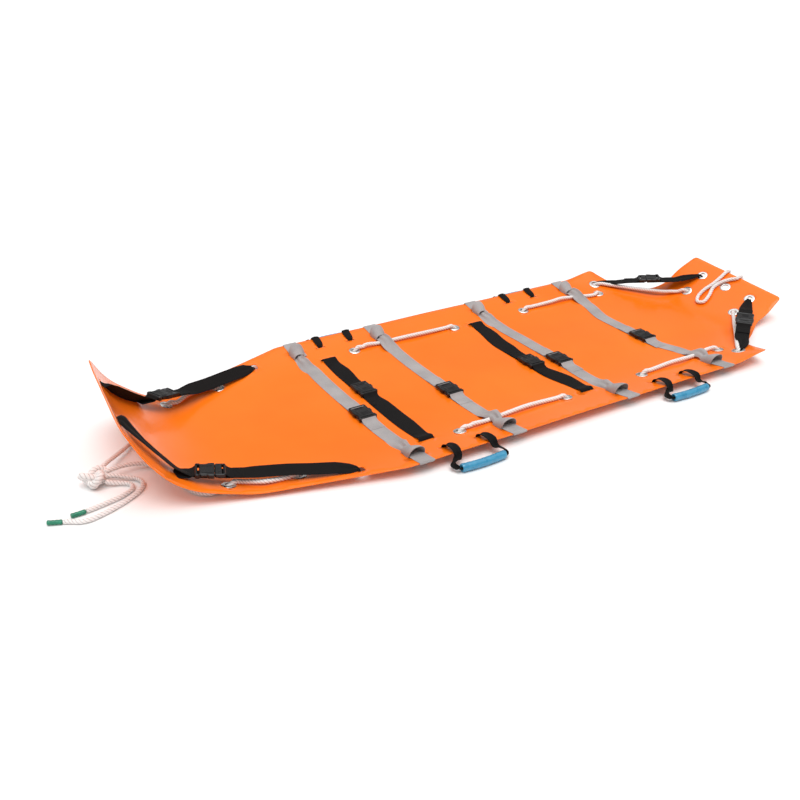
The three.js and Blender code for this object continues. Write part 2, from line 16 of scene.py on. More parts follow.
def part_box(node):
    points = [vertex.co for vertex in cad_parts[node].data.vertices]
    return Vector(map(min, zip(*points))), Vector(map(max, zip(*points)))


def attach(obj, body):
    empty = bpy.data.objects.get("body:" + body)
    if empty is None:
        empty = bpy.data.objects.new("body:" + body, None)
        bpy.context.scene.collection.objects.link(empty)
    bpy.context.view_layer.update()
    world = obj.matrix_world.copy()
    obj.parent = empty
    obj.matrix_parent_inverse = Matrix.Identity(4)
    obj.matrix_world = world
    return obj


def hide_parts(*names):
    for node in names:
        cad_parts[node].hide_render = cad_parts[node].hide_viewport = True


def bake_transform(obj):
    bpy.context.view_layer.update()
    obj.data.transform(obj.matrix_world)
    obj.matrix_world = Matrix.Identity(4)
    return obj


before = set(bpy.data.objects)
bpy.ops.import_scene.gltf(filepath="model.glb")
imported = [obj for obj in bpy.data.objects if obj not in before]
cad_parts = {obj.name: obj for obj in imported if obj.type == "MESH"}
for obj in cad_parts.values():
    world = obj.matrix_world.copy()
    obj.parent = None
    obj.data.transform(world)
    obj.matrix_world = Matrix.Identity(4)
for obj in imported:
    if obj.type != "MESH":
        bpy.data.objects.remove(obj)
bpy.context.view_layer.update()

MM = 0.001
UP = Vector((0, 0, 1))
ALONG_X = Vector((1, 0, 0))
ALONG_Y = Vector((0, 1, 0))

# ---- driving dimensions, as in the frame ----
SHEET = 3.0
MIDDLE = SHEET / 2
HALF_WIDTH = 457.0
FOOT_END, HEAD_END = -1353.0, 1266.0
TAPER_START = -550.0
TONGUE_HALF_WIDTH = 225.0
WING_TIP = 888.0
NOTCH = (927.0, 335.0)
SHOULDER = (1115.0, 228.0)
FLAP_HALF_WIDTH = 208.0
CORNER_RADIUS = 14.0
CURL_START, CURL_RADIUS, CURL_ANGLE = -920.0, 333.0, math.radians(65)
FOOT_TWIST, FOOT_TWIST_FROM, FOOT_TWIST_TO = 0.08, 1000.0, 1190.0
BEND_START, BEND_LENGTH, FLAP_ANGLE = 1005.0, 100.0, math.radians(30)
FLAP_HINGE, BEND_HALF = 1055.0, 42.0
FLAP_TWIST, TWIST_LENGTH = 0.12, 145.0
FLAT_HALF, EDGE_RISE, EDGE_POWER = 120.0, 34.0, 2.0
RISE_ENDS = (960.0, 1050.0)
WING_RISE, WING_POWER, WING_RISE_START = 18.0, 2.7, 745.0

HOLE_RADIUS, WING_HOLE_RADIUS = 12.0, 15.0
GROMMETS = {
    "mid_right": (115, 324), "mid_left": (-301, 333),
    "head_right": (811, 315), "head_left": (439, 326),
    "foot_right": (-820, 310), "foot_left": (-1012, 266),
    "wing": (844, 377), "flap_strap": (1200, 116), "flap_rope": (1111, 119),
}
CENTRE_HOLE = (1200, 0)

WEB_WIDTH, WEB = 50.0, 2.0
ON_TOP = SHEET + 0.6 + WEB / 2
BELOW = -0.6 - WEB / 2
# Each cross strap: its place, how far its middle drifts from it, whether it crosses a rope.
CROSS_STRAPS = {
    "chest": (705, -29, True), "waist": (276, 10, False),
    "thigh": (-172, 0, True), "shin": (-495, 0, False),
}
CROSS_SLIT, CROSS_BUCKLE = 400.0, -68.0
# Each body strap: its place, its drift, its slit and its buckle across the bed.
BODY_STRAPS = {"knee_pad": (-412, 0, 321, 75), "chest_pad": (205, -17, 320, -35)}
DRIFT_ENDS = (120, 272)
FOOT_SLIT, FOOT_ANCHOR = (-1323, 108), (-665, 378)
HANDLES = {"foot": -341.0, "head": 482.0}
HANDLE_SLIT = 60.0
ROPE_SKIN = 7.0  # radius over the strands' crowns, proud of the frame's smooth rope
BUCKLE_DEPTH = SHEET + 1.2 + WEB
SIDES = {"left": 1, "right": -1}


# ---- the sheet's surface ----
def smooth(value, low, high):
    t = min(max((value - low) / (high - low), 0.0), 1.0)
    return t * t * (3 - 2 * t)


def middle_line(s):
    """Middle of the bed in the XZ plane, with its slope angle."""
    x = min(max(s, CURL_START), BEND_START)
    z = angle = rest = 0.0
    if s > BEND_START:
        radius = BEND_LENGTH / FLAP_ANGLE
        angle = min((s - BEND_START) / radius, FLAP_ANGLE)
        x += radius * math.sin(angle)
        z = radius * (1 - math.cos(angle))
        rest = max(s - BEND_START - BEND_LENGTH, 0)
    if s < CURL_START:
        angle = max((s - CURL_START) / CURL_RADIUS, -CURL_ANGLE)
        x += CURL_RADIUS * math.sin(angle)
        z = CURL_RADIUS * (1 - math.cos(angle))
        rest = min(s - CURL_START + CURL_RADIUS * CURL_ANGLE, 0)
    return x + rest * math.cos(angle), z + rest * math.sin(angle), angle


def rise(s, y):
    """How far the sheet stands off that line, with a faint ripple of its own."""
    reach = max(abs(y) - FLAT_HALF, 0) / (HALF_WIDTH - FLAT_HALF)
    fade = 1 - smooth(s, *RISE_ENDS)
    edge = EDGE_RISE * reach ** EDGE_POWER * fade
    wing = WING_RISE * reach ** WING_POWER * smooth(s, WING_RISE_START, WING_TIP) * fade
    head_twist = FLAP_TWIST * smooth(s, FLAP_HINGE, FLAP_HINGE + TWIST_LENGTH)
    foot_twist = FOOT_TWIST * smooth(-s, FOOT_TWIST_FROM, FOOT_TWIST_TO)
    ripple = 0.35 * (1 + math.sin(s / 83 + 0.6)) * (1 + math.cos(y / 71 + s / 240))
    ripple *= min(reach, 1) ** 0.5
    return edge + wing + (head_twist + foot_twist) * y + ripple


# The frame's X is the flat coordinate moved along, read off the chest buckle's plug.
plug_low, plug_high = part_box("chest_buckle_plug")
chest_place, chest_drift, _ = CROSS_STRAPS["chest"]
SHIFT = (plug_low[0] + plug_high[0]) / 2 / MM - chest_place - chest_drift


def on_sheet(s, y, depth=0.0):
    x, z, angle = middle_line(s)
    out = rise(s, y) + depth
    return Vector((x - math.sin(angle) * out + SHIFT, y, z + math.cos(angle) * out))


def drifted(s, drift, y):
    """Where a strap's middle line lies at y."""
    return s + drift * (1 - smooth(abs(y), *DRIFT_ENDS))


def lean(s, y):
    """Unit vectors along s, across y and out of the sheet at a point."""
    along = (on_sheet(s + 1, y) - on_sheet(s - 1, y)).normalized()
    across = (on_sheet(s, y + 1) - on_sheet(s, y - 1)).normalized()
    return along, across, along.cross(across).normalized()


# ---- materials ----
class Look:
    """A node material with a Principled shader and short helpers."""

    def __init__(self, name, **sockets):
        self.material = bpy.data.materials.new(name)
        self.material.use_nodes = True
        self.nodes = self.material.node_tree.nodes
        self.links = self.material.node_tree.links
        self.shader = self.nodes["Principled BSDF"]
        for socket, value in sockets.items():
            self.shader.inputs[socket.replace("_", " ")].default_value = value

    def node(self, kind, **inputs):
        made = self.nodes.new("ShaderNode" + kind)
        for key, value in inputs.items():
            if key.startswith("p_"):
                setattr(made, key[2:], value)
                continue
            socket = made.inputs[int(key[1:]) if key[1:].isdigit() else key.replace("_", " ")]
            if isinstance(value, bpy.types.NodeSocket):
                self.links.new(value, socket)
            else:
                socket.default_value = value
        return made

    def place(self, attribute=None):
        if attribute:
            return self.node("Attribute", p_attribute_name=attribute).outputs["Vector"]
        return self.node("TexCoord").outputs["Object"]

    def noise(self, vector, scale, detail=3.0, rough=0.55):
        made = self.node("TexNoise", Vector=vector, Scale=scale, Detail=detail, Roughness=rough)
        return made.outputs["Fac"]

    def stretched(self, vector, scale):
        return self.node("Mapping", Vector=vector, Scale=scale).outputs["Vector"]

    def maths(self, kind, a, b=0.5, c=0.5):
        return self.node("Math", p_operation=kind, i0=a, i1=b, i2=c).outputs[0]

    def span(self, value, low, high, to_low=0.0, to_high=1.0):
        made = self.node("MapRange", Value=value, From_Min=low, From_Max=high,
                         To_Min=to_low, To_Max=to_high)
        return made.outputs["Result"]

    def ramp(self, value, *stops):
        made = self.node("ValToRGB", Fac=value)
        elements = made.color_ramp.elements
        while len(elements) < len(stops):
            elements.new(0.5)
        for element, (position, colour) in zip(elements, stops):
            element.position = position
            element.color = (*colour, 1)
        return made.outputs["Color"]

    def drive(self, socket, value):
        self.links.new(value, self.shader.inputs[socket])

    def colour(self, value, low, dark, high, light):
        """Base colour from one tone to another as the value goes from low to high."""
        self.drive("Base Color", self.ramp(value, (low, dark), (high, light)))

    def bump(self, height, strength, distance, under=None):
        made = self.node("Bump", Height=height, Strength=strength, Distance=distance)
        if under is not None:
            self.links.new(under, made.inputs["Normal"])
        self.links.new(made.outputs["Normal"], self.shader.inputs["Normal"])
        return made.outputs["Normal"]


def orange_sheet():
    look = Look("orange_sheet", IOR=1.48, Specular_IOR_Level=0.34)
    place = look.place()
    cloud = look.noise(place, 2.2, 3)
    look.colour(cloud, 0.3, (0.97, 0.165, 0.004), 0.7, (1.0, 0.195, 0.01))
    scuffs = look.noise(look.stretched(place, (6, 90, 40)), 3.0, 6, 0.7)
    fine = look.noise(place, 160, 4)
    worn = look.maths("MULTIPLY_ADD", look.span(scuffs, 0.5, 0.75), 0.1, 0.12)
    look.drive("Roughness", look.maths("MULTIPLY_ADD", fine, 0.08, worn))
    waves = look.noise(place, 7, 2)
    smooth_waves = look.bump(waves, 0.25, 0.004)
    look.bump(fine, 0.12, 0.0003, smooth_waves)
    return look.material


def webbing(name, light, dark, sheen):
    """Woven tape: weft ribs across, two finer warp ribs, fuzzy selvedges."""
    look = Look(name, Sheen_Weight=sheen, Sheen_Roughness=0.5, Specular_IOR_Level=0.14)
    strip = look.place("strip")
    parts = look.node("SeparateXYZ", Vector=strip)
    along, across = parts.outputs["X"], parts.outputs["Y"]
    weft = look.maths("SINE", look.maths("MULTIPLY", along, 2 * math.pi / 0.0022))
    warp = look.maths("SINE", look.maths("MULTIPLY", across, 2 * math.pi / 0.0031))
    woven = look.maths("MULTIPLY", weft, warp)
    height = look.maths("MULTIPLY_ADD", woven, 0.35, look.maths("MULTIPLY_ADD", weft, 0.25, 0.5))
    fibres = look.noise(look.stretched(strip, (1, 6, 1)), 900, 3)
    cloud = look.noise(look.place(), 14, 4)
    # Tone mixes random cloud and fibre tone with the weave's rib height, so the grooves between
    # ribs come out darker: painted shade in the grooves.
    tone = look.maths("MULTIPLY_ADD", cloud, 0.55, look.maths("MULTIPLY", height, 0.3))
    tone = look.maths("MULTIPLY_ADD", fibres, 0.25, tone)
    look.colour(tone, 0.25, dark, 0.8, light)
    look.drive("Roughness", look.maths("MULTIPLY_ADD", cloud, 0.2, 0.68))
    ribs = look.bump(height, 0.55, 0.0006)
    look.bump(fibres, 0.3, 0.0003, ribs)
    return look.material


def black_plastic():
    look = Look("black_plastic", Specular_IOR_Level=0.42)
    place = look.place()
    grain = look.noise(place, 1400, 2)
    wear = look.noise(place, 55, 5, 0.65)
    look.colour(wear, 0.35, (0.0035, 0.003, 0.0035), 0.75, (0.009, 0.008, 0.0095))
    look.drive("Roughness", look.span(wear, 0.3, 0.7, 0.28, 0.46))
    look.bump(grain, 0.35, 0.0002)
    return look.material


def blue_grip():
    look = Look("blue_grip", Coat_Weight=0.3, Coat_Roughness=0.12)
    place = look.place()
    cloud = look.noise(place, 40, 4)
    streak = look.noise(look.stretched(place, (8, 160, 160)), 2, 4)
    tone = look.maths("MULTIPLY_ADD", streak, 0.5, look.maths("MULTIPLY", cloud, 0.5))
    look.colour(tone, 0.3, (0.02, 0.2, 0.36), 0.7, (0.06, 0.33, 0.52))
    look.drive("Roughness", look.span(cloud, 0.3, 0.7, 0.22, 0.4))
    look.bump(look.noise(place, 500, 3), 0.2, 0.0003)
    return look.material


def white_rope():
    look = Look("white_rope", Sheen_Weight=0.3, Sheen_Roughness=0.5, Specular_IOR_Level=0.3)
    strip = look.place("strip")
    parts = look.node("SeparateXYZ", Vector=strip)
    # Painted shade: the strip's third value is high on the strands' crowns and low between them,
    # and the colour goes dark between the strands. Random yarn and cloud tone come on top.
    painted_strand_shade = look.span(parts.outputs["Z"], 0.0, 1.0)
    yarns = look.noise(look.stretched(strip, (160, 900, 1)), 1.0, 3)
    cloud = look.noise(look.place(), 30, 4)
    tone = look.maths("MULTIPLY_ADD", yarns, 0.3, look.maths("MULTIPLY_ADD", painted_strand_shade, 0.7, 0.0))
    tone = look.maths("MULTIPLY_ADD", cloud, 0.2, tone)
    look.colour(tone, 0.15, (0.34, 0.27, 0.25), 0.66, (0.86, 0.82, 0.8))
    look.drive("Roughness", look.span(cloud, 0.2, 0.8, 0.65, 0.85))
    look.bump(yarns, 0.5, 0.0006)
    return look.material


def mottled(name, scale, dark, light, rough, grain, strength, distance, **sockets):
    """A hard surface with cloudy tone and gloss and a fine grain."""
    look = Look(name, **sockets)
    place = look.place()
    cloud = look.noise(place, scale, 4)
    look.colour(cloud, 0.3, dark, 0.7, light)
    look.drive("Roughness", look.span(cloud, 0.3, 0.7, *rough))
    look.bump(look.noise(place, grain, 3), strength, distance)
    return look.material


LOOKS = {
    "orange_sheet": orange_sheet(),
    "grey_webbing": webbing("grey_webbing", (0.47, 0.435, 0.43), (0.25, 0.23, 0.23), 0.15),
    "black_webbing": webbing("black_webbing", (0.0095, 0.0078, 0.0076),
                             (0.0025, 0.002, 0.002), 0.02),
    "black_plastic": black_plastic(),
    "blue_grip": blue_grip(),
    "white_rope": white_rope(),
    "green_sleeve": mottled("green_sleeve", 90, (0.006, 0.16, 0.085), (0.012, 0.25, 0.14),
                            (0.3, 0.5), 700, 0.3, 0.0003, Coat_Weight=0.2, Coat_Roughness=0.2),
    "grommet_metal": mottled("grommet_metal", 120, (0.66, 0.64, 0.62), (0.86, 0.85, 0.83),
                             (0.18, 0.36), 900, 0.15, 0.0002, Metallic=1.0),
}


# ---- making pieces ----
def new_object(name, data):
    made = bpy.data.objects.new(name, data)
    bpy.context.scene.collection.objects.link(made)
    return made


def shade(mesh, slot, sharp):
    """Smooth shading with edges sharper than an angle kept, and one material."""
    mesh.shade_smooth()
    mesh.set_sharp_from_angle(angle=math.radians(sharp))
    mesh.materials.append(LOOKS[slot])


def add_piece(name, verts, faces, slot, body=None, stands_for=(), strip=None, sharp=40):
    """A mesh object from points in millimetres, with its slot, body and CAD nodes."""
    mesh = bpy.data.meshes.new(name)
    mesh.from_pydata([tuple(v * MM for v in vert) for vert in verts], [], faces)
    if strip:
        data = mesh.attributes.new("strip", "FLOAT_VECTOR", "POINT")
        for item, value in zip(data.data, strip):
            item.vector = value
    shade(mesh, slot, sharp)
    mesh.validate()
    piece = new_object(name, mesh)
    if body:
        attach(piece, body)
    if stands_for:
        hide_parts(*stands_for)
    return piece


class Mesh:
    """Points, faces and strip coordinates gathered from several shapes."""

    def __init__(self):
        self.verts, self.faces, self.strip = [], [], []

    def add(self, verts, faces, strip=None):
        base = len(self.verts)
        self.verts += verts
        self.faces += [tuple(base + i for i in face) for face in faces]
        self.strip += strip if strip else [(v[0] * MM, v[1] * MM, 1.0) for v in verts]
        return self

    def piece(self, name, slot, body=None, stands_for=(), sharp=40):
        return add_piece(name, self.verts, self.faces, slot, body, stands_for, self.strip, sharp)


def round_point(centre, one, other, radius, angle):
    """A point of the circle that two unit vectors span."""
    return centre + one * (radius * math.cos(angle)) + other * (radius * math.sin(angle))


def ring_faces(rings, size, closed_ends=True):
    faces = []
    for i in range(rings - 1):
        for k in range(size):
            a, b = i * size + k, i * size + (k + 1) % size
            faces.append((a, b, b + size, a + size))
    if closed_ends:
        faces.append(tuple(range(size - 1, -1, -1)))
        faces.append(tuple((rings - 1) * size + k for k in range(size)))
    return faces


def curve_through(points, spacing):
    """Evenly spaced points on a centripetal Catmull-Rom curve, with their control position."""
    points = [Vector(p) for p in points]
    first = points[0] * 2 - points[1]
    last = points[-1] * 2 - points[-2]
    padded = [first, *points, last]
    fine, places = [], []
    for i in range(1, len(padded) - 2):
        p0, p1, p2, p3 = padded[i - 1:i + 3]
        k0 = max((p1 - p0).length ** 0.5, 1e-4)
        k1 = max((p2 - p1).length ** 0.5, 1e-4)
        k2 = max((p3 - p2).length ** 0.5, 1e-4)
        m1 = ((p1 - p0) / k0 - (p2 - p0) / (k0 + k1) + (p2 - p1) / k1) * k1
        m2 = ((p2 - p1) / k1 - (p3 - p1) / (k1 + k2) + (p3 - p2) / k2) * k1
        steps = max(int((p2 - p1).length / 1.5), 4)
        for step in range(steps):
            t = step / steps
            t2, t3 = t * t, t * t * t
            fine.append(p1 * (2 * t3 - 3 * t2 + 1) + m1 * (t3 - 2 * t2 + t)
                        + p2 * (3 * t2 - 2 * t3) + m2 * (t3 - t2))
            places.append(i - 1 + t)
    fine.append(points[-1])
    places.append(len(points) - 1)
    run = [0.0]
    for a, b in zip(fine, fine[1:]):
        run.append(run[-1] + (b - a).length)
    count = max(int(run[-1] / spacing), 2)
    line, at = [], []
    for n in range(count + 1):
        want = run[-1] * n / count
        i = min(max(bisect.bisect_left(run, want), 1), len(run) - 1)
        t = (want - run[i - 1]) / max(run[i] - run[i - 1], 1e-9)
        line.append(fine[i - 1].lerp(fine[i], t))
        at.append(places[i - 1] + (places[i] - places[i - 1]) * t)
    return line, at, run[-1]


def directions(line):
    out = []
    for i in range(len(line)):
        a, b = line[max(i - 1, 0)], line[min(i + 1, len(line) - 1)]
        out.append((b - a).normalized())
    return out


# ---- rope ----
LAY = 30.0  # one turn of a strand
ROPE_RING = 18
FLOOR_LINE = ROPE_SKIN + 0.1


def rope_mesh(points, radius=ROPE_SKIN, floor=FLOOR_LINE, into=None):
    """Three-strand laid rope along a curve, never below the floor."""
    line, _, length = curve_through(points, 2.0)
    line = [Vector((p.x, p.y, max(p.z, floor))) for p in line]
    ways = directions(line)
    normal = ways[0].orthogonal().normalized()
    verts, strip = [], []
    for i, (point, way) in enumerate(zip(line, ways)):
        normal = (normal - way * normal.dot(way)).normalized()
        other = way.cross(normal)
        travel = length * i / (len(line) - 1)
        end = min(travel, length - travel)
        taper = min(1.0, 0.75 + end / 10)
        for k in range(ROPE_RING):
            angle = 2 * math.pi * k / ROPE_RING
            lobe = abs(math.cos(1.5 * (angle - 2 * math.pi * travel / LAY)))
            r = radius * taper * (0.74 + 0.26 * lobe ** 0.75)
            verts.append(round_point(point, normal, other, r, angle))
            # The third strip value is the strand crown's height; the rope material paints shade
            # into the hollows between strands from it.
            strip.append((travel * MM, angle * radius * MM, lobe))
    target = into or Mesh()
    target.add(verts, ring_faces(len(line), ROPE_RING), strip)
    return target, [p * MM for p in line], length * MM


ROPE_UP = SHEET + ROPE_SKIN + 0.5


def threaded(hole, side, way):
    """Rope points through a grommet: over the sheet before the hole, under it after."""
    length = math.hypot(*way)
    lays = ((-34, 9.6), (-13, 11.2), (0, 0), (13, -10.4), (34, -9.0))
    s, y = GROMMETS[hole]
    return [on_sheet(s + way[0] / length * d, side * (y + way[1] / length * d), MIDDLE + depth)
            for d, depth in lays]


def rope_join(side, distance):
    along = Vector((-0.96, -0.25 * side, -0.1)).normalized()
    return Vector((-1048 + SHIFT, side * 262, 10)) + along * distance


def lacing_points(side):
    def over(s, y, lift=0.0):
        return on_sheet(s, side * y, ROPE_UP + lift)

    def under(s, y):
        point = on_sheet(s, side * y)
        point.z = FLOOR_LINE
        return point

    s, y = GROMMETS["wing"]
    return [
        over(FLAP_HINGE + 9, 166, 7), over(FLAP_HINGE - 6, 179, 8),
        over(970, 252, 8), over(886, 331, 4),
        on_sheet(s + 11, side * (y - 16), MIDDLE + 10),
        on_sheet(s, side * (y - 1), MIDDLE - 1),
        on_sheet(s - 11, side * (y - 17), MIDDLE - 12),
        *threaded("head_right", side, (1, 0.4))[::-1][1:],
        over(690, 319, 1), over(620, 325, 5), over(575, 322, 4),
        *threaded("head_left", side, (-1, 0)),
        under(360, 332), under(200, 337),
        *threaded("mid_right", side, (1, 0))[::-1],
        over(-40, 322, 4), over(-110, 326, 3), over(-200, 331), over(-255, 334, 4),
        *threaded("mid_left", side, (-1, 0)),
        under(-366, 336), under(-550, 333), under(-740, 324),
        *threaded("foot_right", side, (1, 0))[::-1],
        over(-916, 303, 4),
        *threaded("foot_left", side, (-1, 0))[:4],
        rope_join(side, -12), rope_join(side, 0),
    ]


def head_rope_points():
    def start(side):
        behind_crease = on_sheet(FLAP_HINGE + 7, side * 168, ROPE_UP + 7)
        return [behind_crease, *threaded("flap_rope", side, (1, -1))]

    def round_end(y, drift):
        turn = [(-30, 0, -7), (-10, 0, -8), (3.5, 0, -5.5),
                (8, 1, MIDDLE), (3.5, 2, 8.5), (-10, 2, 11)]
        return [on_sheet(HEAD_END + past, y + drift * n, depth) for past, n, depth in turn]

    bight = [(1225, 41), (1183, 43), (1142, 52), (1104, 50), (1080, 32),
             (1090, 11), (1128, 15), (1168, 29), (1205, 22), (1232, 5)]
    return [
        *start(1), on_sheet(1190, 72, -7), *round_end(44, -1),
        *[on_sheet(s, y, ROPE_UP + 1) for s, y in bight],
        *round_end(-20, 2)[::-1], on_sheet(1190, -60, -7), *start(-1)[::-1],
    ]


LAID = 5.1  # points that rope_mesh lifts onto the floor
FLOOR_ROUTES = {
    "foot_rope_left": [
        (-1110, 190, LAID), (-1165, 112, 12), (-1220, 48, 24), (-1258, 6, 33),
        (-1276, -15, 37), (-1291, -30, 38),
    ],
    "foot_rope_right": [
        (-1092, -228, LAID), (-1105, -170, LAID), (-1116, -110, LAID), (-1136, -58, 8),
        (-1172, -30, 16), (-1222, -28, 26), (-1260, -38, 31), (-1282, -45, 33),
    ],
    "rope_tail_left": [
        (-1290, -70, 18), (-1273, -77, 12), (-1250, -84, 7.1), (-1230, -102, LAID),
        (-1234, -126, LAID), (-1265, -146, LAID), (-1305, -158, LAID), (-1345, -166, LAID),
        (-1368, -170, LAID),
    ],
    "rope_tail_right": [
        (-1283, -54, 25), (-1262, -57, 20), (-1238, -63, 12), (-1208, -82, LAID),
        (-1200, -112, LAID), (-1216, -142, LAID), (-1248, -166, LAID), (-1290, -188, LAID),
        (-1340, -207, LAID), (-1370, -214, LAID), (-1394, -210, LAID), (-1413, -198, LAID),
        (-1431, -188, LAID),
    ],
}
KNOT = Vector((-1312 + SHIFT, -50, 26.2))
KNOT_STRAND, KNOT_FLOOR = 9.8, 10.0
SLEEVES = {
    "sleeve_left": ((-1369.5, -170.2), (-1409, -172)),
    "sleeve_right": ((-1433, -187.2), (-1469, -171)),
}
SLEEVE_RADIUS = 6.5


def floor_route(name):
    points = [Vector((x + SHIFT, y, z)) for x, y, z in FLOOR_ROUTES[name]]
    side = {"foot_rope_left": 1, "foot_rope_right": -1}.get(name)
    if side:
        points = [rope_join(side, 0.8), rope_join(side, 14), *points]
    return points


def make_knot():
    """An overhand knot of the two ropes laid side by side."""
    mesh = Mesh()
    for strand in (-1, 1):
        points = []
        for k in range(33):
            t = 2 * math.pi * k / 32
            loop = Vector((math.sin(t) + 2 * math.sin(2 * t), math.cos(t) - 2 * math.cos(2 * t),
                           -math.sin(3 * t)))
            spread = 1 + 0.16 * strand
            points.append(KNOT + Vector((loop.x * 10.6 * spread, loop.y * 8.2 * spread,
                                         loop.z * 10.0 + strand * 4.5)))
        rope_mesh(points, KNOT_STRAND, KNOT_FLOOR, mesh)
    return mesh.piece("rope_knot_turns", "white_rope", "sheet", ["rope_knot"])


def make_sleeve(name):
    (x0, y0), (x1, y1) = SLEEVES[name]
    start = Vector((x0 + SHIFT, y0, SLEEVE_RADIUS + 0.1))
    end = Vector((x1 + SHIFT, y1, SLEEVE_RADIUS + 0.1))
    way = (end - start).normalized()
    other = way.cross(UP)
    length = (end - start).length
    verts, rings, ring = [], 40, 20
    for i in range(rings + 1):
        t = i / rings
        lip = min(1.0, 0.62 + math.sqrt(min(t, 1 - t) * 9))
        shrink = 1 - 0.05 * math.cos(t * 8 * math.pi)
        for k in range(ring):
            angle = 2 * math.pi * k / ring
            r = SLEEVE_RADIUS * min(lip, 1) * shrink * (1 - 0.02 * math.cos(3 * angle + 6 * t))
            verts.append(round_point(start + way * (length * t), other, UP, r, angle))
    mesh = Mesh().add(verts, ring_faces(rings + 1, ring))
    return mesh.piece(f"{name}_tube", "green_sleeve", "sheet", [name])


def declare_cord(piece, path, length, far_end, **more):
    tuple(path[0])
    [tuple(p) for p in path]


def make_cords():
    mesh, path, length = rope_mesh(head_rope_points())
    piece = mesh.piece("head_rope_loop", "white_rope", "flap", ["head_rope"])
    declare_cord(piece, path, length, "object")
    knot = make_knot()
    ropes = {}
    for name in FLOOR_ROUTES:
        mesh, path, length = rope_mesh(floor_route(name))
        piece = mesh.piece(f"{name}_laid", "white_rope", "sheet", [name])
        ropes[name] = (piece, path, length)
    for side in SIDES:
        for kind in ("foot_rope", "rope_tail"):
            if kind == "rope_tail":
                far_end, going_with = "fitting", [make_sleeve(f"sleeve_{side}")]
            else:
                far_end, going_with = "knot", [knot] if side == "left" else []
            declare_cord(*ropes[f"{kind}_{side}"], far_end, with_pieces=going_with)


def make_lacing():
    for label, side in SIDES.items():
        mesh, _, _ = rope_mesh(lacing_points(side))
        mesh.piece(f"lacing_{label}_rope", "white_rope", "sheet", [f"lacing_{label}"])


# ---- camera, light and floor ----
CAMERA_AZIMUTH, CAMERA_ELEVATION = math.radians(-30.7), math.radians(27.88)
CAMERA_AIM = Vector((-0.3373, -0.048, 0.003))
CAMERA_DISTANCE, CAMERA_LENS, CAMERA_REACH = 3.0113, 42.16, 200
SUN_STRENGTH, SUN_SIZE, SUN_WAY = 1.35, math.radians(40), Vector((0.12, 0.3, -1))
SKY_STRENGTH = 1.4
SKY_BANDS = ((0.2, 0.34), (0.33, 0.22), (0.6, 0.3))  # height and grey
FLOOR_HALF, FLOOR_LEVEL = 60.0, -0.0008


def make_camera():
    flat = math.cos(CAMERA_ELEVATION)
    away = Vector((math.sin(CAMERA_AZIMUTH) * flat, -math.cos(CAMERA_AZIMUTH) * flat,
                   math.sin(CAMERA_ELEVATION)))
    camera = new_object("camera", bpy.data.cameras.new("camera"))
    camera.location = CAMERA_AIM + away * CAMERA_DISTANCE
    camera.rotation_euler = (-away).to_track_quat("-Z", "Y").to_euler()
    camera.data.lens = CAMERA_LENS
    camera.data.clip_end = CAMERA_REACH
    bpy.context.scene.camera = camera


def make_studio():
    world = bpy.data.worlds.new("studio")
    world.use_nodes = True
    nodes, links = world.node_tree.nodes, world.node_tree.links
    height = nodes.new("ShaderNodeSeparateXYZ")
    links.new(nodes.new("ShaderNodeTexCoord").outputs["Generated"], height.inputs[0])
    bands = nodes.new("ShaderNodeValToRGB")
    ramp = bands.color_ramp.elements
    ramp[0].position, ramp[0].color = 0.02, (0.5, 0.5, 0.5, 1)
    ramp[1].position, ramp[1].color = 0.85, (1.0, 1.0, 1.0, 1)
    for position, grey in SKY_BANDS:
        stop = ramp.new(position)
        stop.color = (grey, grey, grey, 1)
    links.new(height.outputs["Z"], bands.inputs["Fac"])
    links.new(bands.outputs["Color"], nodes["Background"].inputs["Color"])
    nodes["Background"].inputs["Strength"].default_value = SKY_STRENGTH
    bpy.context.scene.world = world
    lamp = bpy.data.lights.new("key", "SUN")
    lamp.energy = SUN_STRENGTH
    lamp.angle = SUN_SIZE
    key = new_object("key", lamp)
    key.rotation_euler = SUN_WAY.to_track_quat("-Z", "Y").to_euler()
    look = Look("floor_paper", Roughness=0.9, Specular_IOR_Level=0.1)
    look.shader.inputs["Base Color"].default_value = (0.93, 0.93, 0.93, 1)
    mesh = bpy.data.meshes.new("floor")
    corners = [(x * FLOOR_HALF, y * FLOOR_HALF, FLOOR_LEVEL)
               for x, y in ((-1, -1), (1, -1), (1, 1), (-1, 1))]
    mesh.from_pydata(corners, [], [(0, 1, 2, 3)])
    mesh.materials.append(look.material)
    new_object("floor", mesh)
    bpy.context.scene.view_settings.view_transform = "Standard"


# ---- the sheet ----
def rounded_outline(corners, radius):
    """Corner points of a flat outline with each corner turned into a short arc."""
    loop = []
    for i, here in enumerate(corners):
        here = Vector(here)
        back = Vector(corners[i - 1]) - here
        ahead = Vector(corners[(i + 1) % len(corners)]) - here
        cut = min(radius, back.length / 2.2, ahead.length / 2.2)
        a, b = here + back.normalized() * cut, here + ahead.normalized() * cut
        for step in range(5):
            t = step / 4
            loop.append(a.lerp(here, t).lerp(here.lerp(b, t), t))
    return loop


def even_loop(loop, spacing):
    out = []
    for i, a in enumerate(loop):
        b = loop[(i + 1) % len(loop)]
        count = max(int((b - a).length / spacing), 1)
        out += [a.lerp(b, k / count) for k in range(count)]
    return out


def inset_loop(loop, distance):
    """Moves a counter-clockwise loop inwards."""
    out = []
    for i, here in enumerate(loop):
        way = (loop[(i + 1) % len(loop)] - loop[i - 1]).normalized()
        out.append(here + Vector((-way.y, way.x)) * distance)
    return out


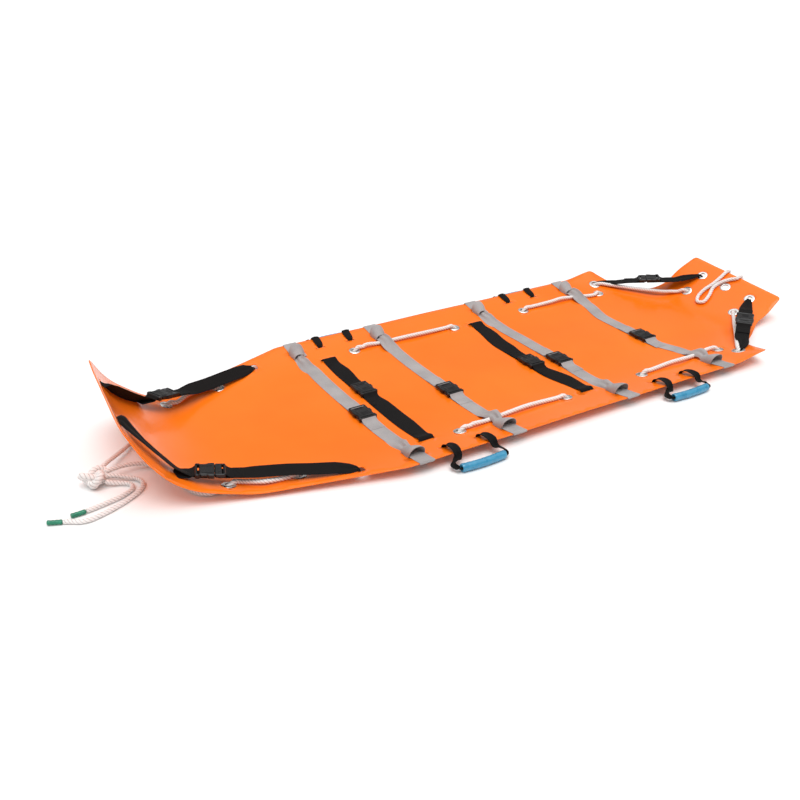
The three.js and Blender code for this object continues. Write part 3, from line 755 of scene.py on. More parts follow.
def plate(outer, holes, grid, depths, bevel, place):
    """Closed plate with round-edged outline and holes. place maps (x, y, depth) to a point."""
    loops = [outer] + [hole[::-1] for hole in holes]
    shrunk = [inset_loop(loop, bevel) for loop in loops]
    flat = [p for loop in shrunk for p in loop]
    edges, starts = [], []
    for loop in shrunk:
        base = starts[-1] + len(shrunk[len(starts) - 1]) if starts else 0
        starts.append(base)
        edges += [(base + k, base + (k + 1) % len(loop)) for k in range(len(loop))]
    points, _, triangles, sources, _, _ = delaunay_2d_cdt(flat + grid, edges, [], 2, 1e-5)
    triangles = [t for t in triangles if not in_hole(points, t, holes, outer)]
    index = {}
    for new, old in enumerate(sources):
        for o in old:
            index[o] = new
    count = len(points)
    low, high = depths
    verts = [place(p.x, p.y, high) for p in points] + [place(p.x, p.y, low) for p in points]
    faces = [tuple(t) for t in triangles]
    faces += [tuple(count + i for i in reversed(t)) for t in triangles]
    for loop, start in zip(loops, starts):
        top = [index[start + k] for k in range(len(loop))]
        base = len(verts)
        for depth in (high - bevel, low + bevel):
            verts += [place(p.x, p.y, depth) for p in loop]
        size = len(loop)
        for k in range(size):
            n = (k + 1) % size
            faces.append((top[n], top[k], base + k, base + n))
            faces.append((base + n, base + k, base + size + k, base + size + n))
            faces.append((base + size + n, base + size + k, count + top[k], count + top[n]))
    used = sorted({i for face in faces for i in face})
    renumber = {old: new for new, old in enumerate(used)}
    return [verts[i] for i in used], [tuple(renumber[i] for i in face) for face in faces]


HOLE_SPAN = 90.0  # wider than any hole
GRID_STEP, OUTLINE_STEP = 24.0, 14
HOLE_REACH, HOLE_GAP, EDGE_GAP = 36, 7, 9  # how far the grid's points keep from each
ROUND_EDGE = 0.5
SLIT_LENGTH, SLIT_WIDTH = WEB_WIDTH + 6, 10


def inside(point, loop):
    hit = False
    for i, a in enumerate(loop):
        b = loop[i - 1]
        if (a.y > point.y) != (b.y > point.y):
            if point.x < (b.x - a.x) * (point.y - a.y) / (b.y - a.y) + a.x:
                hit = not hit
    return hit


def in_hole(points, triangle, holes, outer):
    """Whether a triangle lies in a hole or outside the outline."""
    middle = sum((points[i] for i in triangle), Vector((0, 0))) / 3
    for hole in holes:
        away = middle - hole[0]
        if abs(away.x) < HOLE_SPAN and abs(away.y) < HOLE_SPAN and inside(middle, hole):
            return True
    return not inside(middle, outer)


def circle(x, y, radius, count=28):
    angles = [2 * math.pi * k / count for k in range(count)]
    return [Vector((x + radius * math.cos(a), y + radius * math.sin(a))) for a in angles]


def slit(x, y, along, across):
    """Round-ended slot, counter-clockwise."""
    a, b = along / 2, across / 2
    corners = [(x - a, y - b), (x + a, y - b), (x + a, y + b), (x - a, y + b)]
    return rounded_outline(corners, min(a, b) * 0.8)


def sheet_holes():
    holes = [circle(*CENTRE_HOLE, HOLE_RADIUS)]
    for side in SIDES.values():
        for name, (s, y) in GROMMETS.items():
            holes.append(circle(s, side * y, WING_HOLE_RADIUS if name == "wing" else HOLE_RADIUS))
        places = [(s, CROSS_SLIT) for s, _, _ in CROSS_STRAPS.values()]
        places += [(s, y) for s, _, y, _ in BODY_STRAPS.values()]
        holes += [slit(s, side * y, SLIT_LENGTH, SLIT_WIDTH) for s, y in places]
        for s in HANDLES.values():
            holes += [slit(s + end * HANDLE_SLIT, side * CROSS_SLIT, 30, 5) for end in (-1, 1)]
        holes.append(slit(FOOT_SLIT[0], side * FOOT_SLIT[1], SLIT_WIDTH, SLIT_LENGTH))
        holes.append(slit(FOOT_ANCHOR[0], side * FOOT_ANCHOR[1], 26, 30))
    return holes


def nearest(point, loop):
    return min((point - p).length for p in loop)


def make_sheet():
    half = [
        (FOOT_END, TONGUE_HALF_WIDTH), (TAPER_START, HALF_WIDTH), (WING_TIP, HALF_WIDTH),
        NOTCH, SHOULDER, (HEAD_END, FLAP_HALF_WIDTH),
    ]
    corners = [(s, -y) for s, y in half] + [(s, y) for s, y in reversed(half)]
    outer = even_loop(rounded_outline(corners, CORNER_RADIUS), OUTLINE_STEP)
    holes = sheet_holes()
    grid = []
    step = GRID_STEP
    rows = int(HALF_WIDTH / step)
    for i in range(int((HEAD_END - FOOT_END) / step)):
        for j in range(-rows, rows + 1):
            point = Vector((FOOT_END + step * (i + 0.6), j * step + (i % 2) * step / 3))
            near_hole = any((point - sum(hole, Vector((0, 0))) / len(hole)).length < HOLE_REACH
                            and nearest(point, hole) < HOLE_GAP for hole in holes)
            if inside(point, outer) and nearest(point, outer) > EDGE_GAP and not near_hole:
                grid.append(point)
    verts, faces = plate(outer, holes, grid, (0.0, SHEET), ROUND_EDGE, on_sheet)
    piece = add_piece("plastic_sheet", verts, faces, "orange_sheet",
                      stands_for=["sheet_body", "head_flap"], sharp=50)
    start, end = (on_sheet(FLAP_HINGE + way * BEND_HALF, 0) * MM for way in (-1, 1))
    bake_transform(piece)


# ---- grommets ----
RING_WIDTH = 8.5


def make_grommet(name, s, y, radius, body):
    """Rolled ring on both faces with a tube through the hole."""
    along, across, out = lean(s, y)
    centre = on_sheet(s, y)
    wall = radius - 0.4
    rim = radius + RING_WIDTH
    profile = [
        (wall - 1.2, 1.5), (wall - 1.1, 3.6), (wall - 0.4, 4.8), (wall + 1.2, 5.3),
        (rim - 3.4, 5.0), (rim - 1.0, 4.3), (rim, 3.5), (rim - 0.3, 3.1), (wall, 3.1),
        (wall, -0.1), (rim - 0.3, -0.1), (rim, -0.5), (rim - 1.0, -1.2), (rim - 3.4, -1.7),
        (wall + 1.2, -1.9), (wall - 0.4, -1.6), (wall - 1.1, -0.6),
    ]
    around = 40
    verts, faces = [], []
    for k in range(around):
        angle = 2 * math.pi * k / around
        way = along * math.cos(angle) + across * math.sin(angle)
        verts += [centre + way * r + out * z for r, z in profile]
    size = len(profile)
    for k in range(around):
        for n in range(size):
            here, ahead, turned = k * size, (k + 1) % around * size, (n + 1) % size
            faces.append((here + n, ahead + n, ahead + turned, here + turned))
    add_piece(f"grommet_{name}", verts, faces, "grommet_metal", body)


def make_grommets():
    make_grommet("flap_centre", *CENTRE_HOLE, HOLE_RADIUS, "flap")
    for label, side in SIDES.items():
        for name, (s, y) in GROMMETS.items():
            radius = WING_HOLE_RADIUS if name == "wing" else HOLE_RADIUS
            body = "flap" if "flap" in name else "sheet"
            make_grommet(f"{name}_{label}", s, side * y, radius, body)


# ---- webbing ----
WEB_POINTS = 17
LAYER_GAP = 0.3


def web_section(width, folds, natural):
    """Upper and lower points of a strip's cross-section. A strip squeezed under its
    natural width waves up and down so that its own width stays the same."""
    squeeze = min(max(natural / max(width, 1.0) - 1, 0.0), 2.0)
    height = width / (math.pi * folds) * math.sqrt(squeeze) * 0.85
    upper, lower = [], []
    for k in range(WEB_POINTS):
        u = 2 * k / (WEB_POINTS - 1) - 1
        wave = height * (math.cos(math.pi * folds * u) - 1) / 2 + height / 2
        edge = math.sqrt(max(1 - abs(u) ** 10, 0.03))
        selvedge = 1.0 + 0.14 * math.exp(-((abs(u) - 0.9) / 0.05) ** 2)
        half = WEB / 2 * edge * selvedge
        upper.append((u * width / 2, wave + half, u * natural / 2))
        lower.append((u * width / 2, wave - half, u * natural / 2))
    return upper + lower[::-1]


def web_mesh(stations, spacing=5.0, natural=WEB_WIDTH, folds=2, mesh=None):
    """Webbing through stations (point, side vector, width) as one closed strip."""
    line, at, length = curve_through([station[0] for station in stations], spacing)
    ways = directions(line)
    verts, strip = [], []
    for i, (point, way, place) in enumerate(zip(line, ways, at)):
        a = min(int(place), len(stations) - 2)
        t = place - a
        side = Vector(stations[a][1]).lerp(Vector(stations[a + 1][1]), t)
        side = (side - way * side.dot(way)).normalized()
        width = stations[a][2] + (stations[a + 1][2] - stations[a][2]) * t
        up = side.cross(way)
        travel = length * i / (len(line) - 1)
        for across, lift, run in web_section(width, folds, natural):
            verts.append(point + side * across + up * lift)
            strip.append((travel * MM, run * MM, 1.0))
    target = mesh or Mesh()
    target.add(verts, ring_faces(len(line), 2 * WEB_POINTS), strip)
    return target


def add_stitches(mesh, place, length, width, pitch=4.2):
    """Box-and-cross stitching. place maps (along, across) to a point and its normal."""
    a, b = length / 2, width / 2
    corners = [(-a, -b), (a, -b), (a, b), (-a, b)]
    runs = [(corners[k], corners[(k + 1) % 4]) for k in range(4)]
    runs += [(corners[0], corners[2]), (corners[1], corners[3])]
    for start, end in runs:
        start, end = Vector(start), Vector(end)
        count = max(int((end - start).length / pitch), 1)
        way = (end - start).normalized()
        for k in range(count):
            middle = start.lerp(end, (k + 0.5) / count)
            add_stitch(mesh, place, middle, way * pitch * 0.36)


def add_stitch(mesh, place, middle, reach):
    rings, size, radius = 5, 6, 0.55
    verts = []
    side = Vector((-reach.y, reach.x)).normalized()
    for i in range(rings):
        t = 2 * i / (rings - 1) - 1
        swell = radius * math.sqrt(max(1 - (abs(t) * 0.92) ** 2, 0.05))
        for k in range(size):
            angle = 2 * math.pi * k / size
            flat = middle + reach * t + side * (swell * math.cos(angle))
            point, normal = place(flat.x, flat.y)
            verts.append(point + normal * (swell * math.sin(angle) * 0.9))
    mesh.add(verts, ring_faces(rings, size))


def hem_loop(bar, way, up, side, reach, under, mesh, natural=WEB_WIDTH):
    """Webbing turned round a buckle's bar: up through the slot, over the bar and back
    on top of itself. way points from the bar along the strap, under is the strap's
    height below the bar."""
    layer = WEB + LAYER_GAP
    turn = [(-3.2, -under * 0.1), (-3.4, 3.0), (-0.5, 4.3), (2.6, 2.6), (5.2, -0.5)]
    stations = [(bar + way * a + up * b, side, natural) for a, b in turn]
    stations += [(bar + way * d + up * (layer - under), side, natural) for d in (16.0, 26.0, reach)]
    return web_mesh(stations, 3.5, natural, 2, mesh)


# ---- cross straps ----
EYE_OUTER, EYE_INNER = 401.0, 358.0
EYE_HEIGHT, EYE_WIDTH = 27.0, 53.0
EYE_WAIST_HEIGHT, EYE_WAIST = 16.0, 37.0


def eye_mesh(s, side):
    """The strap's end loop: webbing arched over the edge band, open at both ends."""
    rings, points = 15, 25
    verts, strip = [], []
    for i in range(rings):
        t = i / (rings - 1)
        y = EYE_OUTER + (EYE_INNER - EYE_OUTER) * t
        open_part = 1 - smooth(t, 0.15, 1.0)
        width = EYE_WAIST + (EYE_WIDTH - EYE_WAIST) * open_part
        height = EYE_WAIST_HEIGHT + (EYE_HEIGHT - EYE_WAIST_HEIGHT) * open_part
        swing = -8 * t
        outer, inner = [], []
        for k in range(points):
            angle = math.pi * (1.16 * k / (points - 1) - 0.08)
            c, h = math.cos(angle), math.sin(angle)
            reach = math.copysign(abs(c) ** 0.82, c)
            for store, grow in ((outer, WEB / 2), (inner, -WEB / 2)):
                across = reach * (width / 2 + grow)
                up = max(h, -0.12) * (height + grow) + 3.2
                store.append((across + swing, up, angle * 30))
        for across, up, run in outer + inner[::-1]:
            lean_out = 7 * (up / EYE_HEIGHT) * (1 - t)
            verts.append(on_sheet(s + across, side * (y + lean_out), SHEET + up))
            strip.append((run * MM, (y - EYE_INNER) * MM, 1.0))
    return Mesh().add(verts, ring_faces(rings, 2 * points), strip)


def edge_band(s, side):
    """Band from inside the eye, over and round the sheet's edge and back under to the slit."""
    turn = SHEET / 2 + 0.6 + WEB / 2
    path = [(EYE_INNER + 8, ON_TOP + 1), (CROSS_SLIT - 12, ON_TOP + 2.0),
            (CROSS_SLIT + 16, ON_TOP + 0.4), (HALF_WIDTH - 20, ON_TOP), (HALF_WIDTH - 2, ON_TOP)]
    for degrees in (60, 25, -25, -60):
        angle = math.radians(degrees)
        path.append((HALF_WIDTH + turn * math.cos(angle), SHEET / 2 + turn * math.sin(angle)))
    path += [(HALF_WIDTH - 2, BELOW), (HALF_WIDTH - 24, BELOW), (CROSS_SLIT + 12, BELOW),
             (CROSS_SLIT + 3, BELOW + 1.5), (CROSS_SLIT - 1, MIDDLE), (CROSS_SLIT - 4, SHEET + 0.2)]
    stations = [(on_sheet(s, side * y, depth), ALONG_X, WEB_WIDTH) for y, depth in path]
    return web_mesh(stations, 3.0)


def spaced(low, high, step):
    """Even places from low to high, about a step apart."""
    steps = int((high - low) / step) + 1
    return [low + (high - low) * i / steps for i in range(steps + 1)]


def cross_strap(s, drift, side, over_rope):
    """From its buckle along the bed, humped over any rope, tilting and narrowing into its eye."""
    low = side * CROSS_BUCKLE + 6
    flat_to = 268.0
    stations = [(on_sheet(drifted(s, drift, y), side * y, ON_TOP), ALONG_X, WEB_WIDTH)
                for y in spaced(low, flat_to, 42)]
    over = 2 * ROPE_SKIN + 3 if over_rope else 5.0
    bow = 9 if side > 0 else 3
    tilt, steep = Vector((1, 0, 0.55)), Vector((1, 0, 0.85))
    stations += [
        (on_sheet(s - 1 - bow, side * 296, ON_TOP + over * 0.7), ALONG_X.lerp(tilt, 0.35), 47),
        (on_sheet(s - 3 - bow, side * 322, ON_TOP + over + 3), tilt, 42),
        (on_sheet(s - 5 - bow, side * 345, ON_TOP + over + 2), steep, 35),
        (on_sheet(s - 9, side * 364, ON_TOP + 8), tilt, 30),
        (on_sheet(s - 6, side * 382, ON_TOP + 6), ALONG_X, 32),
    ]
    return web_mesh(stations, 5.0)


def buckle_frame(at, towards):
    along = towards.normalized()
    across = UP.cross(along).normalized()
    return at, along, across, along.cross(across)


def strap_piece(mesh, name, label, slot, at):
    """One half of a strap across the bed: the left half ends on its buckle's plug."""
    on_plug = label == "left"
    piece = mesh.piece(f"{name}_strap_{label}_webbing", slot, None if on_plug else "sheet",
                       [f"{name}_strap_{label}"])
    if on_plug:
        blend_to_plug(piece, at, ALONG_Y)


def make_cross_straps():
    for name, (s, drift, over_rope) in CROSS_STRAPS.items():
        at = on_sheet(s + drift, CROSS_BUCKLE, BUCKLE_DEPTH)
        for label, side in SIDES.items():
            mesh = cross_strap(s, drift, side, over_rope)
            add_hem(mesh, buckle_frame(at, ALONG_Y), side > 0, 62)
            strap_piece(mesh, name, label, "grey_webbing", at)
            eye_mesh(s, side).piece(f"{name}_eye_{label}", "grey_webbing", "sheet")
            edge_band(s, side).piece(f"{name}_band_{label}", "grey_webbing", "sheet")


HOUSING_BAR, PLUG_BAR = -49.5, 27.5
BAR_HEIGHT, HEM_UNDER = 7, 8.6


def add_hem(mesh, place, on_plug, reach):
    """The strap's doubled, stitched end round the bar of one buckle half."""
    at, along, across, up = place
    bar = at + along * (PLUG_BAR if on_plug else HOUSING_BAR) + up * BAR_HEIGHT
    way = along if on_plug else -along
    hem_loop(bar, way, up, across, reach, HEM_UNDER, mesh)

    def on_hem(a, b):
        crown = WEB * 1.5 + LAYER_GAP - HEM_UNDER
        return bar + way * (reach - 16 + a) + across * b + up * crown, up

    add_stitches(mesh, on_hem, 22, 38)


def blend_to_plug(piece, at, along):
    along = along.normalized()
    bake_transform(piece)


# ---- body straps ----
def make_body_straps():
    for name, (s, drift, slit_y, buckle_y) in BODY_STRAPS.items():
        at = on_sheet(s + drift, buckle_y, BUCKLE_DEPTH)
        for label, side in SIDES.items():
            low = side * buckle_y + 6
            flat_to = slit_y - 34
            stations = []
            for y in spaced(low, flat_to, 40):
                lift = smooth(abs(side * y - buckle_y), 50, 140)
                lift *= 1 - smooth(y, flat_to - 80, flat_to)
                stations.append((on_sheet(drifted(s, drift, y), side * y, ON_TOP + 4 * lift),
                                 Vector((1, 0, 0.15 * lift)), WEB_WIDTH + 4 * lift))
            tail = [(-20, ON_TOP + 3.0), (-8, ON_TOP + 5.5), (-1, ON_TOP + 2.5), (2.5, MIDDLE),
                    (5, BELOW), (20, BELOW), (52, BELOW)]
            stations += [(on_sheet(s, side * (slit_y + past), depth), ALONG_X, WEB_WIDTH)
                         for past, depth in tail]
            mesh = web_mesh(stations, 4.5)
            add_hem(mesh, buckle_frame(at, ALONG_Y), side > 0, 70)

            def near_slit(a, b, side=side, s=s, edge=slit_y):
                y = side * (edge - 58 + a)
                return on_sheet(s + b, y, ON_TOP + WEB / 2), lean(s + b, y)[2]

            add_stitches(mesh, near_slit, 26, 38)
            strap_piece(mesh, name, label, "black_webbing", at)


# ---- head and foot straps ----
def offset(point, along, distance, lift):
    return point + along * distance + UP * lift


def level(points, widths, tilts=()):
    """Stations for a strap through free points, level across or tilted there."""
    stations = []
    for i, (at, width) in enumerate(zip(points, widths)):
        way = points[min(i + 1, len(points) - 1)] - points[max(i - 1, 0)]
        across = UP.cross(way).normalized()
        if tilts:
            across += UP * (tilts[i] * math.copysign(1, across.y))
        stations.append((at, across, width))
    return stations


UNDER_BUCKLE = WEB / 2 + 0.6
HEAD_START_TO_MOUTH, FOOT_START_TO_MOUTH = 72, 50


def head_buckle_place(side):
    """Where a head strap starts to be straight, its buckle's mouth, and the way to the flap."""
    start = Vector((950 + SHIFT, side * 298, 50))
    end = Vector((1052 + SHIFT, side * 217, 60))
    along = (end - start).normalized()
    return start, offset(start, along, HEAD_START_TO_MOUTH, 0), along


def free_strap(points, widths, tilts, place, on_plug, reach):
    """Webbing through free points, doubled and stitched round one half of a buckle."""
    mesh = web_mesh(level(points, widths, tilts), 4.0)
    add_hem(mesh, place, on_plug, reach)
    return mesh


def make_head_straps():
    for label, side in SIDES.items():
        def on(s, y, depth):
            return on_sheet(s, side * y, depth)

        wing_s, wing_y = GROMMETS["wing"]
        flap_s, flap_y = GROMMETS["flap_strap"]
        start, mouth, along = head_buckle_place(side)
        place = buckle_frame(mouth, -along)
        points = [on(wing_s + 1, wing_y + 1, -5), on(wing_s + 5, wing_y + 1, ON_TOP),
                  on(wing_s + 20, wing_y - 5, ON_TOP + 5),
                  on(wing_s + 52, wing_y - 27, ON_TOP + 12),
                  offset(start, along, -40, -UNDER_BUCKLE - 3),
                  offset(start, along, 0, -UNDER_BUCKLE),
                  offset(mouth, along, -8, -UNDER_BUCKLE)]
        mesh = free_strap(points, [11, 14, 24, 40, 50, 50, 50], (), place, True, 58)
        piece = mesh.piece(f"head_strap_{label}_wing_webbing", "black_webbing", None,
                           [f"head_strap_{label}_wing"])
        blend_to_plug(piece, mouth, -along)
        points = [*[offset(mouth, along, d, -UNDER_BUCKLE) for d in (10, 60, 100)],
                  on(flap_s - 58, flap_y + 42, ON_TOP + 20),
                  on(flap_s - 28, flap_y + 20, ON_TOP + 10), on(flap_s - 8, flap_y + 6, ON_TOP + 4),
                  on(flap_s - 1, flap_y + 1, 1.5), on(flap_s - 2, flap_y + 2, -6)]
        tilt = 0.2 if side > 0 else 0
        tilts = [0, 0, 0, tilt, tilt, 0, 0, 0]
        mesh = free_strap(points, [50, 50, 50, 46, 34, 20, 14, 12], tilts, place, False, 58)
        piece = mesh.piece(f"head_strap_{label}_flap_webbing", "black_webbing", None,
                           [f"head_strap_{label}_flap"])
        tuple(offset(mouth, along, 62, 0) * MM)
        tuple(on(flap_s - 30, flap_y + 21, 0) * MM)
        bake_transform(piece)


FOOT_STRAP_START = {"left": (-1056, 222, 78), "right": (-1083, -222, 60)}


def foot_buckle_place(label):
    """A foot buckle's mouth and the direction its plug points to."""
    x, y, z = FOOT_STRAP_START[label]
    start = Vector((x + SHIFT, y, z))
    along = (on_sheet(-860, SIDES[label] * 301, 26) - start).normalized()
    return offset(start, along, FOOT_START_TO_MOUTH, 0), along


SAG = 9  # at the middle


def sag(start, end, t):
    """A point of a strap that hangs a little slack between two points."""
    return start.lerp(end, t) - UP * (4 * SAG * t * (1 - t))


def make_foot_straps():
    for label, side in SIDES.items():
        def on(s, y, depth):
            return on_sheet(s, side * y, depth)

        slit_s, slit_y = FOOT_SLIT
        hold_s, hold_y = FOOT_ANCHOR
        mouth, along = foot_buckle_place(label)
        start = offset(mouth, along, -FOOT_START_TO_MOUTH, 0)
        place = buckle_frame(mouth, along)
        slack = on(slit_s + 6, slit_y + 4, 12), offset(start, along, -30, 2)
        points = [*[on(slit_s + past, slit_y, BELOW) for past in (46, 16, 3)],
                  on(slit_s, slit_y, MIDDLE), on(slit_s + 2, slit_y + 1, ON_TOP + 5),
                  *[sag(*slack, t) for t in (0.12, 0.35, 0.65, 0.9)],
                  offset(start, along, -4, -UNDER_BUCKLE), offset(mouth, along, -8, -UNDER_BUCKLE)]
        widths = [48, 48, 48, 48, 48, 47, 46, 46, 48, 50, 50]
        tilts = [0, 0, 0, 0, 0, -0.4, -0.7, -0.75, -0.65, -0.2, 0]
        mesh = free_strap(points, widths, tilts, place, False, 58)
        mesh.piece(f"foot_strap_{label}_tongue_webbing", "black_webbing", "sheet",
                   [f"foot_strap_{label}_tongue"])
        points = [offset(mouth, along, 8, -UNDER_BUCKLE), offset(mouth, along, 60, -UNDER_BUCKLE),
                  offset(mouth, along, 110, -UNDER_BUCKLE + 3),
                  on(-850, 303, 31), on(-790, 327, 24),
                  on(hold_s - 60, hold_y - 27, ON_TOP + 12),
                  on(hold_s - 26, hold_y - 11, ON_TOP + 6),
                  on(hold_s - 8, hold_y - 3, ON_TOP + 3), on(hold_s + 1, hold_y, -4)]
        tilt = 0.5 if side > 0 else 0.15
        tilts = [0, 0, *[tilt] * 5, 0, 0]
        mesh = free_strap(points, [*[50] * 6, 43, 28, 14], tilts, place, True, 52)
        piece = mesh.piece(f"foot_strap_{label}_bed_webbing", "black_webbing", None,
                           [f"foot_strap_{label}_bed"])
        blend_to_plug(piece, mouth, along)


# ---- buckles ----
BUCKLE_WIDTH, BUCKLE_HEIGHT, BUCKLE_WAIST = 64.0, 14.0, 26.5
CAVITY_HALF, CAVITY_HEIGHT = 29.0, 8.4


def flat_place(x, y, depth):
    return Vector((x, y, depth))


def solid(outline, holes, low, high, bevel):
    """Temporary object: a round-edged plate in local millimetres."""
    spaced = even_loop([Vector(p) for p in outline], 4)
    verts, faces = plate(spaced, holes, [], (low, high), bevel, flat_place)
    mesh = bpy.data.meshes.new("part")
    mesh.from_pydata([tuple(v) for v in verts], [], faces)
    return new_object("part", mesh)


def block(x0, x1, y0, y1, z0, z1, bevel=0.0):
    """Temporary object: a box, bevelled or plain."""
    mesh = bpy.data.meshes.new("block")
    made = bmesh.new()
    bmesh.ops.create_cube(made, size=1)
    size = Vector((x1 - x0, y1 - y0, z1 - z0))
    middle = Vector((x0 + x1, y0 + y1, z0 + z1)) / 2
    for vert in made.verts:
        vert.co = Vector(a * b for a, b in zip(vert.co, size)) + middle
    if bevel:
        bmesh.ops.bevel(made, geom=made.edges[:], offset=bevel, segments=2, profile=0.6,
                        affect="EDGES")
    made.to_mesh(mesh)
    made.free()
    return new_object("block", mesh)


def combine(base, others, operation):
    """Adds or cuts temporary objects with exact booleans and returns the base."""
    for other in others:
        change = base.modifiers.new("change", "BOOLEAN")
        change.operation = operation
        change.solver = "EXACT"
        change.object = other
    graph = bpy.context.evaluated_depsgraph_get()
    result = bpy.data.meshes.new_from_object(base.evaluated_get(graph))
    base.modifiers.clear()
    base.data = result
    for other in others:
        bpy.data.objects.remove(other)
    return base


def housing_solid():
    half, waist = BUCKLE_WIDTH / 2, BUCKLE_WAIST
    outline = [(-52, -29), (-47, -31.5), (-42, -30), (-38, -waist), (-22, -waist - 0.5),
               (-16, -31), (-3, -half), (0, -half + 1)]
    outline += [(x, -y) for x, y in reversed(outline)]
    slot = slit(-43.5, 0, 5.5, 52)
    shell = solid(rounded_outline(outline, 2.5), [slot], 0, BUCKLE_HEIGHT, 2.2)
    cut = [block(-38, 2, -CAVITY_HALF, CAVITY_HALF, 2.8, 2.8 + CAVITY_HEIGHT, 0.8),
           block(-37, -19, -40, 40, 3.4, 10.6, 1.0)]
    cut += [block(-35 + 7 * k, -32 + 7 * k, -11, 11, 13.2, 16, 0.3) for k in range(3)]
    shell = combine(shell, cut, "DIFFERENCE")
    crown = [block(-33, -6, -20, -14.5, 13.2, 14.8, 0.6), block(-33, -6, 14.5, 20, 13.2, 14.8, 0.6)]
    return combine(shell, crown, "UNION")


def plug_solid():
    outline = [(0.7, -27), (4, -29), (26, -29), (30, -27)]
    outline += [(x, -y) for x, y in reversed(outline)]
    slots = [slit(22.0, 0, 4.6, 50)]
    base = solid(rounded_outline(outline, 3), slots, 1, 13, 2.0)
    parts = [block(-26, 4, -4, 4, 3.8, 10.4, 0.8)]
    for side in (-1, 1):
        arm = [(6, side * 19), (6, side * 25), (-20, side * 27.6), (-36, side * 28.6),
               (-37, side * 25), (-33, side * 20.5), (-20, side * 20.5)]
        area = sum(a[0] * b[1] - b[0] * a[1] for a, b in zip(arm, arm[1:] + arm[:1]))
        outline = rounded_outline(arm if area > 0 else arm[::-1], 1.6)
        parts.append(solid(outline, [], 4.2, 10.2, 0.8))
    parts += [block(9 + 4 * k, 11 + 4 * k, -15, 15, 12.4, 13.7, 0.35) for k in range(2)]
    return combine(base, parts, "UNION")


def make_buckle(name, at, towards, shapes):
    _, along, across, up = buckle_frame(at, towards)
    place = Matrix.Translation(at) @ Matrix((along, across, up)).transposed().to_4x4()
    for half, body in (("housing", "sheet"), ("plug", f"{name}_plug")):
        mesh = shapes[half].copy()
        mesh.transform(Matrix.Scale(MM, 4) @ place)
        mesh.materials.clear()
        shade(mesh, "black_plastic", 38)
        piece = new_object(f"{name}_{half}_moulding", mesh)
        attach(piece, body)
        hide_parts(f"{name}_{half}")


def make_buckles():
    shapes = {}
    for half, maker in (("housing", housing_solid), ("plug", plug_solid)):
        made = maker()
        shapes[half] = made.data
        bpy.data.objects.remove(made)
    places = {name: (s + drift, CROSS_BUCKLE) for name, (s, drift, _) in CROSS_STRAPS.items()}
    places |= {name: (s + drift, y) for name, (s, drift, _, y) in BODY_STRAPS.items()}
    for name, (s, y) in places.items():
        make_buckle(f"{name}_buckle", on_sheet(s, y, BUCKLE_DEPTH), ALONG_Y, shapes)
    for label, side in SIDES.items():
        _, mouth, along = head_buckle_place(side)
        make_buckle(f"head_buckle_{label}", mouth, -along, shapes)
        make_buckle(f"foot_buckle_{label}", *foot_buckle_place(label), shapes)


# ---- handles ----
GRIP_RADIUS, GRIP_LENGTH, GRIP_DRIFT = 13.0, 150.0, 6.0
GRIP_BORE = 8.2
# In metres: where across a loop starts and ends following its grip, and at what height.
GRIP_OUT = {"foot_handle_left": 480.0, "foot_handle_right": 506.0,
            "head_handle_left": 480.0, "head_handle_right": 500.0}


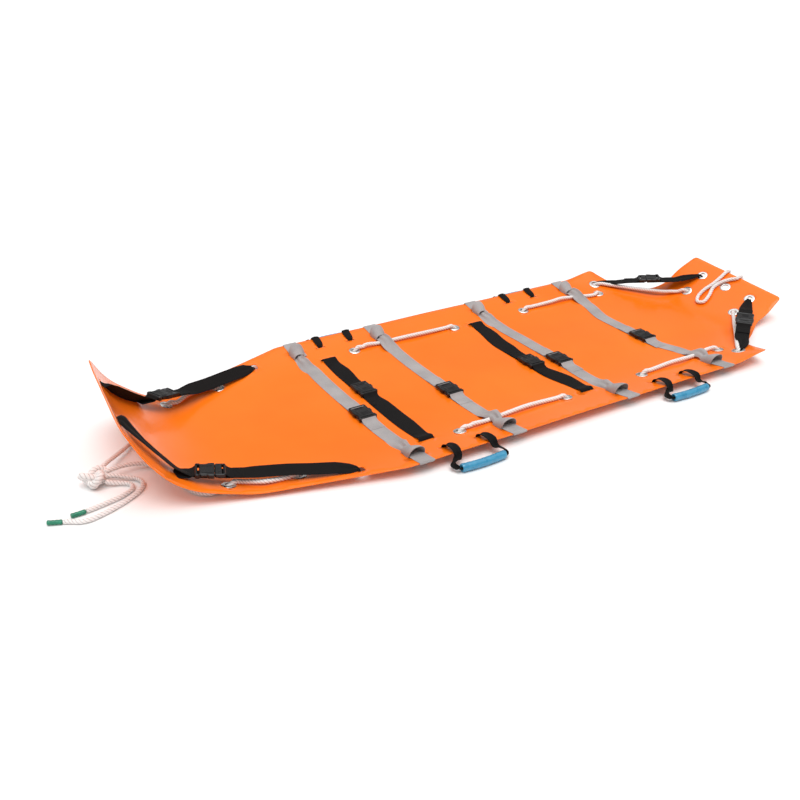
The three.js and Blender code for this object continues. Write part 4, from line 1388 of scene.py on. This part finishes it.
def make_grip(name, centre, side):
    """Soft hose, bowed outwards a little, with a lengthwise seam and rolled ends."""
    rings, ring = 60, 32
    verts = []
    for inner in (False, True):
        for i in range(rings + 1):
            t = 2 * i / rings - 1
            lip = max(abs(t) - 0.96, 0) / 0.04
            bow = 5 * (1 - t * t) - 2.5
            base = centre + Vector((t * GRIP_LENGTH / 2, side * bow, 0))
            for k in range(ring):
                angle = 2 * math.pi * k / ring
                seam = math.exp(-((angle - 2.2) / 0.11) ** 2)
                ribs = 0.25 * math.cos(t * 9 * math.pi)
                r = GRIP_BORE if inner else GRIP_RADIUS - 0.3 - 1.5 * seam - 1.2 * lip ** 2 + ribs
                verts.append(base + Vector((0, side * r * math.cos(angle), r * math.sin(angle))))
    layer = (rings + 1) * ring
    faces = []
    for i in range(rings):
        for k in range(ring):
            a, b = i * ring + k, i * ring + (k + 1) % ring
            faces.append((a, a + ring, b + ring, b) if side > 0 else (a, b, b + ring, a + ring))
            faces.append((layer + a, layer + b, layer + b + ring, layer + a + ring) if side > 0
                         else (layer + a, layer + a + ring, layer + b + ring, layer + b))
    for i, turn in ((0, 1), (rings, -1)):
        for k in range(ring):
            a, b = i * ring + k, i * ring + (k + 1) % ring
            face = (a, b, layer + b, layer + a)
            faces.append(face if turn * side > 0 else face[::-1])
    return add_piece(f"{name}_hose", verts, faces, "blue_grip", name, [f"{name}_grip"])


def make_handle(end_name, label):
    name = f"{end_name}_handle_{label}"
    side, s = SIDES[label], HANDLES[end_name]
    centre = Vector((s + SHIFT + GRIP_DRIFT, side * GRIP_OUT[name], GRIP_RADIUS + 0.1))
    make_grip(name, centre, side)
    mesh = Mesh()
    hang = GRIP_OUT[name] - 467
    arch = 4 if side > 0 else 12
    for end in (-1, 1):
        top = s + end * HANDLE_SLIT
        grip_end = centre + ALONG_X * (end * (GRIP_LENGTH / 2 + 3))
        tip = centre + ALONG_X * (end * (GRIP_LENGTH / 2 - 22))
        twist = Vector((0.75, 0, -0.65 * end))
        stations = [
            (on_sheet(top, side * 440, BELOW), ALONG_X, 24),
            (on_sheet(top, side * 408, BELOW), ALONG_X, 20),
            (on_sheet(top, side * 400, SHEET / 2), ALONG_X, 16),
            (on_sheet(top, side * 403, ON_TOP + arch * 0.4), ALONG_X, 20),
            (on_sheet(top + 2, side * 418, ON_TOP + arch), ALONG_X, 27),
            (on_sheet(top + 4, side * 440, ON_TOP + arch), ALONG_X, 29),
            (on_sheet(top + 6 + end * 2, side * 457, ON_TOP + 4), ALONG_X, 28),
            (Vector((top + SHIFT + 8 + end * 5, side * 467, 27)), ALONG_X, 24),
            (grip_end + Vector((end * 9 - 3, side * -0.55 * hang, 6)), twist, 18),
            (grip_end + Vector((end * 8, side * -0.2 * hang, 2)), twist, 15),
            (grip_end + ALONG_X * end, Vector((0, 1, -0.4)), 14),
            (tip, ALONG_Y, 14),
        ]
        web_mesh(stations, 3.0, 30, 1, mesh)
    piece = mesh.piece(f"{name}_loop", "black_webbing", None, [f"{name}_webbing"])
    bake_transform(piece)


def make_handles():
    for end_name in HANDLES:
        for label in SIDES:
            make_handle(end_name, label)


# ---- everything, cords and camera first ----
make_camera()
make_cords()
make_lacing()
make_sheet()
make_grommets()
make_cross_straps()
make_body_straps()
make_head_straps()
make_foot_straps()
make_buckles()
make_handles()
make_studio()
